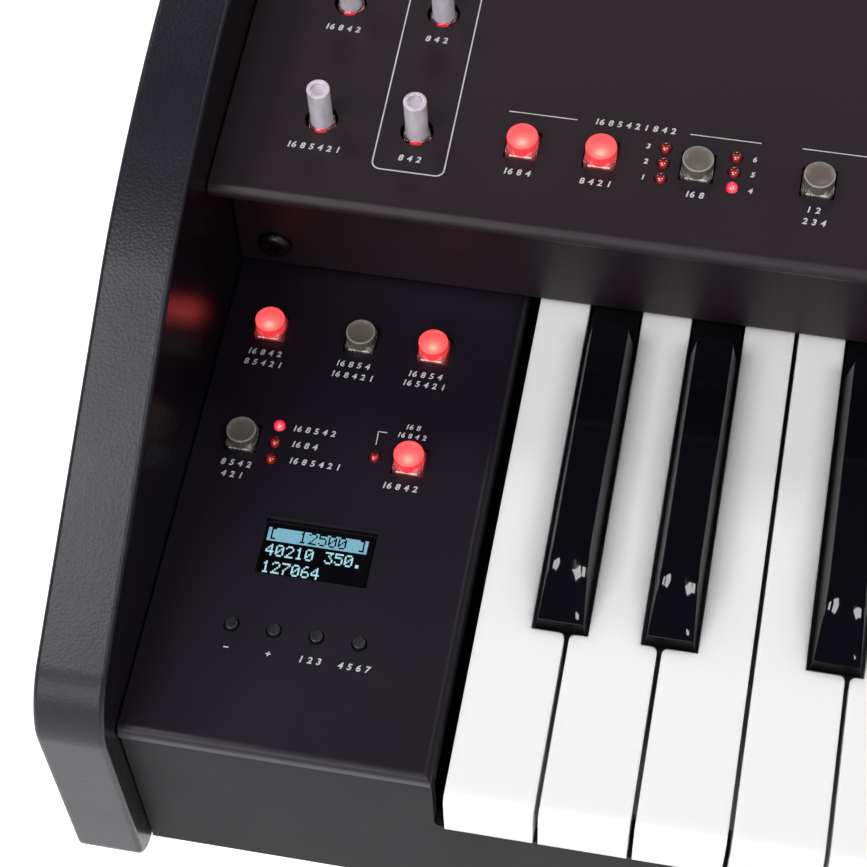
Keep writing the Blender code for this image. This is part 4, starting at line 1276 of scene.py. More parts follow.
@dataclass
class TopPanel(Assembly):
    """Folded sheet over the keys' tails, in one piece with the fascia."""

    overhang: float = 0.0174
    lip: float = 0.0045
    fascia_gap: float = 0.0012
    hem: float = 0.008
    roll: float = 0.0025
    fold: float = 0.0016
    flange: float = 0.012
    button_y: float = 0.0080
    buttons: tuple[float, ...] = (0.0769, 0.0970, 0.1216, 0.1521, 0.1722, 0.1923)
    lamp_columns: tuple[float, ...] = (0.1129, 0.1309)
    lamp_pitch: float = 0.0047
    knobs: tuple[Spot, ...] = ((0.0247, 0.0079), (0.0496, 0.0079), (0.0247, 0.0460),
                               (0.0496, 0.0460))
    knob_hole: float = 0.0043
    bar_count: int = 9
    bar_first: float = 0.4050
    bar_pitch: float = 0.0160
    bar_y: float = 0.0960
    bar_travel: float = 0.0480
    bar_slot: float = 0.0032
    slot_margin: float = 0.0043
    edge: float = 0.00012

    def button_spots(self) -> list[Spot]:
        """Places of the push buttons on the panel."""
        return [(x, self.button_y) for x in self.buttons]

    def lamp_spots(self) -> list[Spot]:
        """Places of the lamps on the panel."""
        return [(x, self.button_y + row * self.lamp_pitch)
                for x in self.lamp_columns for row in (-1, 0, 1)]

    def bar_spots(self) -> list[float]:
        """Places of the drawbars along the panel."""
        return [self.bar_first + i * self.bar_pitch for i in range(self.bar_count)]

    def fold_points(self) -> list[Spot]:
        """Corners of the sheet's side view, in Y and Z, from the back flange to the hem.

        Returns:
            The corners.
        """
        tilt = math.tan(LAYOUT.panel_tilt)
        rear_z = LAYOUT.key_top + LAYOUT.panel_rise + (LAYOUT.back_y - LAYOUT.fascia_y) * tilt
        front_y = LAYOUT.fascia_y - self.overhang
        front_z = LAYOUT.key_top + LAYOUT.panel_rise - self.overhang * tilt
        foot_z = LAYOUT.key_top + self.fascia_gap
        return [(LAYOUT.back_y, rear_z - self.flange), (LAYOUT.back_y, rear_z),
                (front_y, front_z), (front_y, front_z - self.lip),
                (LAYOUT.fascia_y, front_z - self.lip), (LAYOUT.fascia_y, foot_z),
                (LAYOUT.fascia_y + self.hem, foot_z)]

    def build(self) -> None:
        """Fold the sheet, pierce it and round its rims."""
        sheet = self._folded()
        deep = 3 * LAYOUT.sheet
        cutters = [*Bench.square_punches(self.button_spots(), LAYOUT.button_hole, deep),
                   *Bench.round_punches(self.lamp_spots(), LAYOUT.lamp_hole, deep, 32),
                   *Bench.round_punches(self.knobs, self.knob_hole, deep, 56)]
        near = self.bar_y - self.bar_travel - self.slot_margin
        far = self.bar_y + self.slot_margin
        cutters += [Bench.block("cut", (x - self.bar_slot / 2, near, -deep),
                                (x + self.bar_slot / 2, far, deep)) for x in self.bar_spots()]
        tool = Bench.move(Bench.join(cutters, "cut"), LAYOUT.panel)
        Bench.carve(sheet, [tool])
        Bench.soften(sheet, self.edge, 2, 60.0)
        Bench.smooth(sheet, 30.0)
        self.fit(sheet, COAT, Slot.CASE, stands_for=["top_panel"])

    def _folded(self) -> Item:
        """Sheet pulled out edge by edge along its side view, and rounded at its folds.

        Returns:
            The sheet, with its thickness.
        """
        points = self.fold_points()
        left, right = LAYOUT.panel_left, LAYOUT.inner_right - LAYOUT.fit
        (y, z0), (_, z1) = points[:2]
        middle = ((left + right) / 2, y, (z0 + z1) / 2)
        Bench.clear()
        bpy.ops.mesh.primitive_plane_add(size=1.0, location=middle, rotation=Axis.Y.value)
        sheet = Bench.named("folded_panel")
        sheet.scale = (right - left, z1 - z0, 1.0)
        Bench.settle(sheet)
        with Bench.editing(sheet, "EDGE"):
            for (y, z), (next_y, next_z) in zip(points[1:], points[2:]):
                Bench.pick(sheet, "EDGE", along(y=y, z=z))
                bpy.ops.mesh.extrude_region_move(
                    TRANSFORM_OT_translate={"value": (0.0, next_y - y, next_z - z)})
        radii = (self.roll, self.roll, self.fold, self.fold, self.fold)
        for last, (y, z), following, radius in zip(points, points[1:], points[2:], radii):
            before, after = Vector(last) - Vector((y, z)), Vector(following) - Vector((y, z))
            reach = radius / math.tan(before.angle(after) / 2)
            Bench.round_edges(sheet, reach, 8, along(y=y, z=z))
        with Bench.editing(sheet):
            bpy.ops.mesh.select_all(action="SELECT")
            bpy.ops.mesh.normals_make_consistent(inside=False)
        top = max(sheet.data.polygons, key=lambda face: face.area)
        if top.normal.z < 0:
            with Bench.editing(sheet):
                bpy.ops.mesh.select_all(action="SELECT")
                bpy.ops.mesh.flip_normals()
        return Bench.apply(sheet, "SOLIDIFY", thickness=LAYOUT.sheet, offset=-1.0,
                           use_even_offset=True)


@dataclass
class Console(Assembly):
    """Rolled panel beside the keys, with its holes and the display's window."""

    width: float = 0.0793
    reach: float = 0.1430
    tuck: float = 0.010
    wall: float = 0.012
    lip: float = 0.0045
    roll: float = 0.0025
    rail_back: float = -0.1376
    buttons: tuple[Spot, ...] = ((0.0123, -0.0197), (0.0374, -0.0197), (0.0573, -0.0197),
                                 (0.0123, -0.0550), (0.0573, -0.0550))
    lamps: tuple[Spot, ...] = ((0.0213, -0.0500), (0.0213, -0.0551), (0.0213, -0.0602),
                               (0.0481, -0.0552))
    menu_first: float = 0.0218
    menu_pitch: float = 0.01103
    menu_y: float = -0.1095
    menu_hole: float = 0.0020
    edge: float = 0.00018
    window: tuple[Spot, Spot] = ((0.0242, -0.0938), (0.0535, -0.0775))

    def menu_spots(self) -> list[Spot]:
        """Places of the four small menu buttons."""
        return [(self.menu_first + i * self.menu_pitch, self.menu_y) for i in range(4)]

    def build(self) -> None:
        """Roll the front and right edges, hollow the block out and pierce it."""
        panel = Bench.block("console_panel", (0.0, -self.reach, -self.wall),
                            (self.width, self.tuck, 0.0))
        Bench.round_edges(panel, self.roll, 8, either(along(y=-self.reach, z=0.0),
                                                      along(x=self.width, z=0.0)))
        sheet = LAYOUT.sheet
        inside = Bench.block("cut", (sheet, -self.reach + sheet, -2 * self.wall),
                             (self.width - sheet, 2 * self.tuck, -sheet))
        Bench.round_edges(inside, self.roll - sheet, 5,
                          either(along(y=sheet - self.reach, z=-sheet),
                                 along(x=self.width - sheet, z=-sheet)))
        Bench.carve(panel, [inside])
        Bench.carve(panel, [Bench.block("cut", (-sheet, -2 * self.reach, -2 * self.wall),
                                        (self.width + sheet, self.rail_back, -self.lip))])
        deep = 2 * sheet
        cutters = [*Bench.square_punches(self.buttons, LAYOUT.button_hole, deep),
                   *Bench.round_punches(self.lamps, LAYOUT.lamp_hole, deep, 32),
                   *Bench.round_punches(self.menu_spots(), self.menu_hole, deep, 36)]
        (x0, y0), (x1, y1) = self.window
        cutters.append(Bench.block("cut", (x0, y0, -deep), (x1, y1, deep)))
        Bench.carve(panel, cutters)
        Bench.soften(panel, self.edge, 2, 60.0)
        Bench.smooth(panel, 30.0)
        # The console takes the darker copy of the coat: painted shade.
        self.fit(Bench.move(panel, LAYOUT.console), SHADED_CONSOLE_COAT, Slot.CASE,
                 stands_for=["left_console"])


@dataclass
class WhiteKeys(Assembly):
    """Waterfall white keys with their cut shoulders."""

    count: int = 36
    moving: int = 7
    names: tuple[str, ...] = ("c", "d", "e", "f", "g", "a", "b")
    reach: float = 0.1477
    head: float = 0.050
    depth: float = 0.018
    end: float = 0.0535
    slot_width: float = 0.0145
    shifts: tuple[float | None, ...] = (-0.0020, 0.0023, None, -0.0032, 0.0, 0.0032, None)
    shoulder: float = 0.0016
    nose: float = 0.0030
    edge: float = 0.0003

    def slot_middle(self, white: int) -> float | None:
        """Middle of the slot after a white key.

        Args:
            white: Number of the key, from the bass end.

        Returns:
            Its place along the manual, or None where no black key follows.
        """
        shift = self.shifts[white % len(self.shifts)]
        if shift is None or not 0 <= white < self.count - 1:
            return None
        return (white + 1) * LAYOUT.white_pitch + shift

    def build(self) -> None:
        """Model every key on its own, and seat it in the manual."""
        for white in range(self.count):
            node = f"key_{self.names[white]}" if white < self.moving else None
            self.fit(self._key(white), IVORY, Slot.KEY_WHITE, node or CASE,
                     [node or "upper_white_keys"])

    def _key(self, white: int) -> Item:
        """Model one key from its head back.

        Args:
            white: Number of the key, from the bass end.

        Returns:
            The key, in the organ's frame.
        """
        left = white * LAYOUT.white_pitch + LAYOUT.key_gap / 2
        right = (white + 1) * LAYOUT.white_pitch - LAYOUT.key_gap / 2
        before, after = self.slot_middle(white - 1), self.slot_middle(white)
        tail_left = left if before is None else before + self.slot_width / 2
        tail_right = right if after is None else after - self.slot_width / 2
        back = -self.reach + self.head
        key = Bench.block(f"white_key_{white + 1}", (left, -self.reach, -self.depth),
                          (right, back, 0.0))
        for x, cut in ((tail_left, before), (tail_right, after)):
            if cut is not None:
                Bench.split(key, (x, 0.0, 0.0), (1.0, 0.0, 0.0))
        Bench.extrude(key, lambda middle, normal: normal.y > FACING
                      and tail_left < middle.x < tail_right, (0.0, self.end - back, 0.0))
        for x, cut in ((left, before), (right, after)):
            if cut is not None:
                Bench.round_edges(key, self.shoulder, 6, along(x=x, y=back))
        Bench.round_edges(key, self.nose, 7, along(y=-self.reach, z=0.0))
        with Bench.editing(key):
            bpy.ops.mesh.select_all(action="SELECT")
            bpy.ops.mesh.dissolve_limited(angle_limit=math.radians(0.5))
        Bench.soften(key, self.edge, 2, 50.0)
        Bench.smooth(key, 35.0)
        return Bench.move(key, LAYOUT.manual)


@dataclass
class BlackKeys(Assembly):
    """Black keys with a narrow flat top and a dished slope at the front."""

    manual: WhiteKeys = field(default_factory=WhiteKeys)
    base: float = 0.0130
    top: float = 0.0096
    rise: float = 0.0120
    reach: float = 0.0968
    slope: float = 0.0130
    foot: float = 0.0036
    rear: float = 0.0085
    tail_drop: float = 0.0016
    depth: float = 0.016
    bend: float = 0.0020
    edge: float = 0.0009
    rim: float = 0.0010
    hollow: float = 0.00040
    scoop: float = 0.00085
    columns: tuple[float, ...] = (0.0, 0.45, 0.72, 0.88, 1.0)
    tray: tuple[float, ...] = (1.0, 1.0, 0.97, 0.72, 0.0)
    bowl: tuple[float, ...] = (1.0, 0.85, 0.54, 0.26, 0.0)
    corner: float = 0.0020
    setback: float = 0.0030
    runs: tuple[float, ...] = (
        0.0, 0.0011, 0.0020, 0.0032, 0.0046, 0.0060, 0.0074, 0.0087, 0.0099, 0.0110, 0.0120,
        0.0130, 0.0141, 0.0153, 0.0167, 0.0185, 0.021, 0.045, 0.068)
    corner_runs: tuple[float, ...] = (1.2, 1.0, 0.62, 0.30, 0.08, 0.0)
    dish_start: float = 0.0006
    dish_fade_in: float = 0.0020
    dish_end: float = 0.0044
    dish_fade_out: float = 0.0050
    scoop_start: float = 0.0080
    scoop_fade: float = 0.0050
    tail_inset: float = 0.0002
    tail_lap: float = 0.004
    tail_edge: float = 0.0003

    def build(self) -> None:
        """Model one key and copy it into every slot."""
        pattern = self._pattern()
        for white in range(self.manual.count):
            middle = self.manual.slot_middle(white)
            if middle is None:
                continue
            place = LAYOUT.manual @ Matrix.Translation((middle, 0.0, 0.0))
            key = Bench.copy(pattern, f"black_key_{white + 1}", place)
            moves = white < self.manual.moving
            node = f"key_{self.manual.names[white]}_sharp" if moves else None
            self.fit(key, (EBONY, FLANK), Slot.KEY_BLACK, node or CASE,
                     [node or "upper_black_keys"])
        Bench.discard(pattern)

    def _height(self, run: float) -> float:
        """Height of the cap's ridge, with a soft bend where the slope meets the top.

        Args:
            run: Distance back from the key's front edge.

        Returns:
            The height.
        """
        line = self.foot + run * (self.rise - self.foot) / self.slope
        mix = min(1.0, max(0.0, 0.5 + 0.5 * (self.rise - line) / self.bend))
        return self.rise * (1 - mix) + line * mix - self.bend * mix * (1 - mix)

    def _half(self, height: float) -> float:
        """Half of the cap's width at a height, between its leaning sides."""
        lift = (height + self.tail_drop) / (self.rise + self.tail_drop)
        return (self.base + (self.top - self.base) * lift) / 2

    def _rows(self) -> list[tuple[float, float, float, float]]:
        """Sections of the cap from front to rear.

        Returns:
            Distance from the front, height, half width and share of the dish of each one.
        """
        length = self.reach - self.rear - self.setback
        runs = [*self.runs, *(length - self.corner * part for part in self.corner_runs)]
        rows = []
        for run in runs:
            height = self._height(run)
            left = max(0.0, self.corner - (length - run))
            half = self._half(height) - self.corner + math.sqrt(self.corner ** 2 - left ** 2)
            fade = (share(run, self.dish_start, self.dish_fade_in)
                    * share(self.slope + self.dish_end, run, self.dish_fade_out))
            rows.append((run, height, half, fade * fade * (3 - 2 * fade)))
        return rows

    def _pattern(self) -> Item:
        """Cap with its taper, bend and dish, on a straight stem and tail.

        Returns:
            The key, about the middle of its slot.
        """
        rows, half = self._rows(), self.top / 2
        last, count = len(rows) - 1, len(self.columns)
        key = Bench.plate("black_key_pattern", (-half, 0.0), (half, float(last)), self.rise,
                          2 * count, last)
        with Bench.editing(key, "VERT"):
            for number, (run, height, wide, depth) in enumerate(rows):
                Bench.nudge(key, lambda p, y=number: abs(p.y - y) < 1e-4 and p.y > -1e-3,
                            (0.0, run - self.reach - number, height - self.rise),
                            (wide / half, 1.0, 1.0))
                y, inner = run - self.reach, wide - self.rim
                soft = share(run, self.scoop_start, self.scoop_fade)
                for column in range(count - 1, 0, -1):
                    x = wide * column / count
                    drop = depth * (self.hollow * self.tray[column] * (1 - soft)
                                    + self.scoop * self.bowl[column] * soft)
                    Bench.nudge(key, lambda p, x=x, y=y: abs(p.y - y) < NEAR
                                and abs(abs(p.x) - x) < NEAR, (0.0, 0.0, -drop),
                                (self.columns[column] * inner / x, 1.0, 1.0))
                Bench.nudge(key, lambda p, y=y: abs(p.y - y) < NEAR and abs(p.x) < NEAR,
                            (0.0, 0.0, -depth * (self.hollow * (1 - soft) + self.scoop * soft)))
            self._walls(key, rows)
        Bench.soften(key, self.edge, 4, 40.0)
        half = self.base / 2
        tail = Bench.block("tail", (-half + self.tail_inset, -self.rear - self.tail_lap,
                                    -self.depth + self.tail_lap),
                           (half - self.tail_inset, self.manual.end, -self.tail_drop))
        Bench.soften(tail, self.tail_edge)
        key = Bench.smooth(Bench.join([key, tail], "black_key_pattern"), 32.0)
        return self.number(key, lambda middle, normal: int(abs(normal.x) > FACING
                                                           or normal.y < -0.80
                                                           or middle.z < -self.tail_drop))

    def _walls(self, key: Item, rows: list[tuple[float, float, float, float]]) -> None:
        """Pull the cap's rim down to the tail's level, and the stem down from there.

        Args:
            key: Cap in edit mode.
            rows: Sections of the cap.
        """
        drop = 0.030
        bpy.ops.mesh.select_all(action="SELECT")
        bpy.ops.mesh.region_to_loop()
        bpy.ops.mesh.extrude_region_move(TRANSFORM_OT_translate={"value": (0.0, 0.0, -drop)})
        bpy.ops.transform.resize(value=(1.0, 1.0, 0.0))
        level = min(vertex.co.z for vertex in bmesh.from_edit_mesh(key.data).verts)
        bpy.ops.transform.translate(value=(0.0, 0.0, -self.tail_drop - level))
        back = rows[-1][0] - self.reach
        for run, height, wide, _ in rows:
            y = run - self.reach
            target = wide + self._half(-self.tail_drop) - self._half(height)
            Bench.nudge(key, lambda p, y=y: abs(p.y - y) < NEAR and p.z < 0.0, (0.0, 0.0, 0.0),
                        (target / wide, 1.0, 1.0))
        Bench.nudge(key, lambda p: p.y > back - self.corner - NEAR and p.z < 0.0,
                    (0.0, -self.rear - back, 0.0))
        Bench.nudge(key, lambda p: abs(p.z + self.tail_drop) < NEAR, (0.0, 0.0, 0.0))
        bpy.ops.mesh.select_mode(type="EDGE")
        bpy.ops.mesh.extrude_region_move(
            TRANSFORM_OT_translate={"value": (0.0, 0.0, self.tail_drop - self.depth)})
        bpy.ops.mesh.edge_face_add()
        bpy.ops.mesh.select_all(action="SELECT")
        bpy.ops.mesh.normals_make_consistent(inside=False)


@dataclass
class PushButtons(Assembly):
    """Round-topped push buttons on clear square bases."""

    size: float = 0.0082
    chamfer: float = 0.0012
    base_rise: float = 0.0005
    skirt: float = 0.0060
    radius: float = 0.0040
    rise: float = 0.0039
    edge: float = 0.0003
    bowl: tuple[Spot, ...] = ((0.00022, 0.0), (0.00012, -0.00006), (0.0003, -0.00014),
                              (0.0005, -0.00013), (0.0006, -0.00010), (0.0007, -0.00006),
                              (0.0007, -0.00002))
    lit: tuple[str, ...] = ("console_button_1", "console_button_3", "console_button_5",
                            "panel_button_1", "panel_button_2")

    def build(self, console: Console, panel: TopPanel) -> None:
        """Model one button and copy it to every hole.

        Args:
            console: Console with its button places.
            panel: Top panel with its button places.
        """
        pattern = self._pattern()
        for node, place in [*stations("console_button", LAYOUT.console, console.buttons),
                            *stations("panel_button", LAYOUT.panel, panel.button_spots())]:
            if node in self.lit:
                finishes, slot = (CAP_LIT, SIDE_LIT, BASE_LIT, EDGE_HIGHLIGHT_LIT), Slot.BUTTON_LIT
            else:
                finishes, slot = (CAP_DARK, SIDE_DARK, BASE_DARK, EDGE_HIGHLIGHT_DARK), Slot.BUTTON_DARK
            self.stamp(pattern, f"{node}_cap", place, finishes, slot, node)
        Bench.discard(pattern)

    def _pattern(self) -> Item:
        """Dished column on a chamfered base.

        Returns:
            The button, about the middle of its hole.
        """
        column = Bench.rod("column", (0.0, 0.0), self.radius, self.base_rise * 0.5, self.rise,
                           sides=64)
        Bench.round_edges(column, self.edge, 3, over(self.rise - NEAR))
        Bench.dish(column, end_cap, self.bowl)
        half = self.size / 2
        base = Bench.block("base", (-half, -half, -self.skirt), (half, half, self.base_rise))
        Bench.round_edges(base, self.chamfer, 1, lambda a, b: abs(a.z - b.z) > 0.004)
        Bench.round_edges(base, self.edge, 2, over(0.0))
        for piece in (column, base):
            Bench.mark(piece, (0.0, 0.0), self.radius)
        button = Bench.smooth(Bench.join([column, base], "button_pattern"), 30.0)

        def tell(middle: Vector, normal: Vector) -> int:
            """Number of the face, side, base or front edge, which carries a painted highlight."""
            if middle.z > self.base_rise * 1.1:
                return 0 if normal.z > 0.35 else 1
            return 3 if normal.y < -0.3 and middle.y < -half * 0.9 and middle.z > 0.0 else 2
        return self.number(button, tell)


@dataclass
class MenuButtons(Assembly):
    """Small round buttons in front of the display."""

    radius: float = 0.0017
    rise: float = 0.0010
    length: float = 0.0060
    edge: float = 0.00035
    bowl: tuple[Spot, ...] = ((0.0002, 0.0), (0.0003, -0.00006), (0.0004, -0.00004))

    def build(self, console: Console) -> None:
        """Model one button and copy it to its places.

        Args:
            console: Console with the menu's places.
        """
        pattern = Bench.rod("menu_pattern", (0.0, 0.0), self.radius, -self.length, self.rise,
                            sides=40)
        Bench.round_edges(pattern, self.edge, 4, over(self.rise - NEAR))
        Bench.dish(pattern, end_cap, self.bowl)
        Bench.smooth(pattern, 30.0)
        for node, place in stations("menu_button", LAYOUT.console, console.menu_spots()):
            self.stamp(pattern, f"{node}_cap", place, MENU_PLASTIC, Slot.FITTING, node)
        Bench.discard(pattern)


@dataclass
class Lamps(Assembly):
    """Round-topped lamps that stand in the panels' small holes."""

    radius: float = 0.0015
    rise: float = 0.0013
    foot: float = -0.0020
    press: float = 0.00003
    dome: float = 0.0012
    lit: tuple[str, ...] = ("console_lamp_1", "panel_lamp_4")

    def build(self, console: Console, panel: TopPanel) -> None:
        """Model one lamp and copy it to every lamp hole.

        Args:
            console: Console with its lamp places.
            panel: Top panel with its lamp places.
        """
        pattern = Bench.rod("lamp_pattern", (0.0, 0.0), self.radius + self.press, self.foot,
                            self.rise, sides=40)
        Bench.round_edges(pattern, self.dome, 8, over(self.rise - NEAR))
        Bench.mark(pattern, (0.0, 0.0), self.radius)
        Bench.smooth(pattern, 50.0)
        for name, place in [*stations("console_lamp", LAYOUT.console, console.lamps),
                            *stations("panel_lamp", LAYOUT.panel, panel.lamp_spots())]:
            self.stamp(pattern, name, place, LAMP_LIT if name in self.lit else LAMP_DARK_PAINTED_GLOW,
                       Slot.BUTTON_LIT)
        Bench.discard(pattern)


@dataclass
class Knobs(Assembly):
    """Clear knob shafts, each with a collar, a hollow top and a bead of light in its foot."""

    radius: float = 0.0030
    collar: float = 0.0035
    tail: float = 0.0063
    rise: float = 0.0130
    edge: float = 0.0003
    collar_edge: float = 0.0005
    hollow: tuple[Spot, ...] = ((0.0006, 0.0), (0.00012, -0.0001), (0.0, -0.0012),
                                (0.0004, -0.0002), (0.0006, -0.0001))
    bead: Spot = (0.0, -0.0020)
    bead_radius: float = 0.0012
    bead_low: float = -0.0030
    bead_high: float = -0.0006
    names: tuple[str, ...] = ("assign_knob", "tone_knob", "volume_knob", "drive_knob")

    def build(self, panel: TopPanel) -> None:
        """Model one knob and copy it to its places.

        Args:
            panel: Top panel with the knobs' places.
        """
        shaft = Bench.rod("shaft", (0.0, 0.0), self.radius, -LAYOUT.fit, self.rise, sides=56)
        Bench.round_edges(shaft, self.edge, 3, over(self.rise - NEAR))
        Bench.dish(shaft, end_cap, self.hollow)
        collar = Bench.rod("collar", (0.0, 0.0), self.collar, -self.tail, -LAYOUT.fit, sides=56)
        Bench.round_edges(collar, self.collar_edge, 4, over(-LAYOUT.fit - NEAR))
        bead = Bench.rod("bead", self.bead, self.bead_radius, self.bead_low, self.bead_high,
                         sides=24)
        Bench.soften(bead, 0.0005, 3)
        Bench.mark(bead, self.bead, self.bead_radius)
        pattern = Bench.smooth(Bench.join([shaft, collar, bead], "knob_pattern"), 40.0)

        def tell(middle: Vector, normal: Vector) -> int:
            """Number of the shaft, the collar or the bead."""
            far = (middle.xy - Vector(self.bead)).length
            if far < self.bead_radius + 0.00005 and middle.z < self.bead_high + 0.0001:
                return 2
            return 0 if middle.z > -LAYOUT.fit - NEAR and middle.xy.length < self.radius else 1
        self.number(pattern, tell)
        for node, (x, y) in zip(self.names, panel.knobs):
            self.stamp(pattern, f"{node}_shaft", LAYOUT.panel @ Matrix.Translation((x, y, 0.0)),
                       (SHAFT, COLLAR, BEAD), Slot.KNOB, node)
        Bench.discard(pattern)


@dataclass
class Drawbars(Assembly):
    """Drawbars, each a finger grip over a flat stem."""

    colours: str = "bbwwkwkkw"
    stem: Spot = (0.0026, 0.0080)
    tail: float = 0.0051
    lift: float = 0.0006
    cap: Point = (0.0112, 0.0160, 0.0100)
    waist: float = 0.25
    taper: Point = (0.84, 0.66, 1.0)
    cap_edge: float = 0.0011
    stem_edge: float = 0.0003
    groove: float = 0.0007
    groove_depth: float = 0.0005
    groove_spots: tuple[float, ...] = (-0.0024, -0.0012, 0.0, 0.0012, 0.0024)
    overlap: float = 0.001

    def build(self, panel: TopPanel) -> None:
        """Model one drawbar and copy it to its places.

        Args:
            panel: Top panel with the drawbars' places.
        """
        wide, deep, tall = self.cap
        grip = Bench.block("grip", (-wide / 2, -deep / 2, self.lift),
                           (wide / 2, deep / 2, self.lift + tall * self.waist))

        def top(middle: Vector, normal: Vector) -> bool:
            """Test for the grip's top."""
            return normal.z > FACING
        Bench.extrude(grip, top, (0.0, 0.0, tall * (1 - self.waist)))
        with Bench.editing(grip):
            Bench.pick(grip, "FACE", top)
            bpy.ops.transform.resize(value=self.taper)
        Bench.soften(grip, self.cap_edge, 4, 25.0)
        half, high = self.groove / 2, self.lift + tall
        Bench.carve(grip, [Bench.block("cut", (-wide, y - half, high - self.groove_depth),
                                       (wide, y + half, high + self.overlap))
                           for y in self.groove_spots])
        stem = Bench.block("stem", (-self.stem[0] / 2, -self.stem[1] / 2, -self.tail),
                           (self.stem[0] / 2, self.stem[1] / 2, self.lift + self.overlap))
        Bench.soften(stem, self.stem_edge)
        pattern = Bench.smooth(Bench.join([grip, stem], "drawbar_pattern"), 30.0)
        spots = [(x, panel.bar_y) for x in panel.bar_spots()]
        for (node, place), colour in zip(stations("drawbar", LAYOUT.panel, spots), self.colours):
            finish, slot = BAR_FINISHES[colour]
            self.stamp(pattern, f"{node}_grip", place, finish, slot, node)
        Bench.discard(pattern)


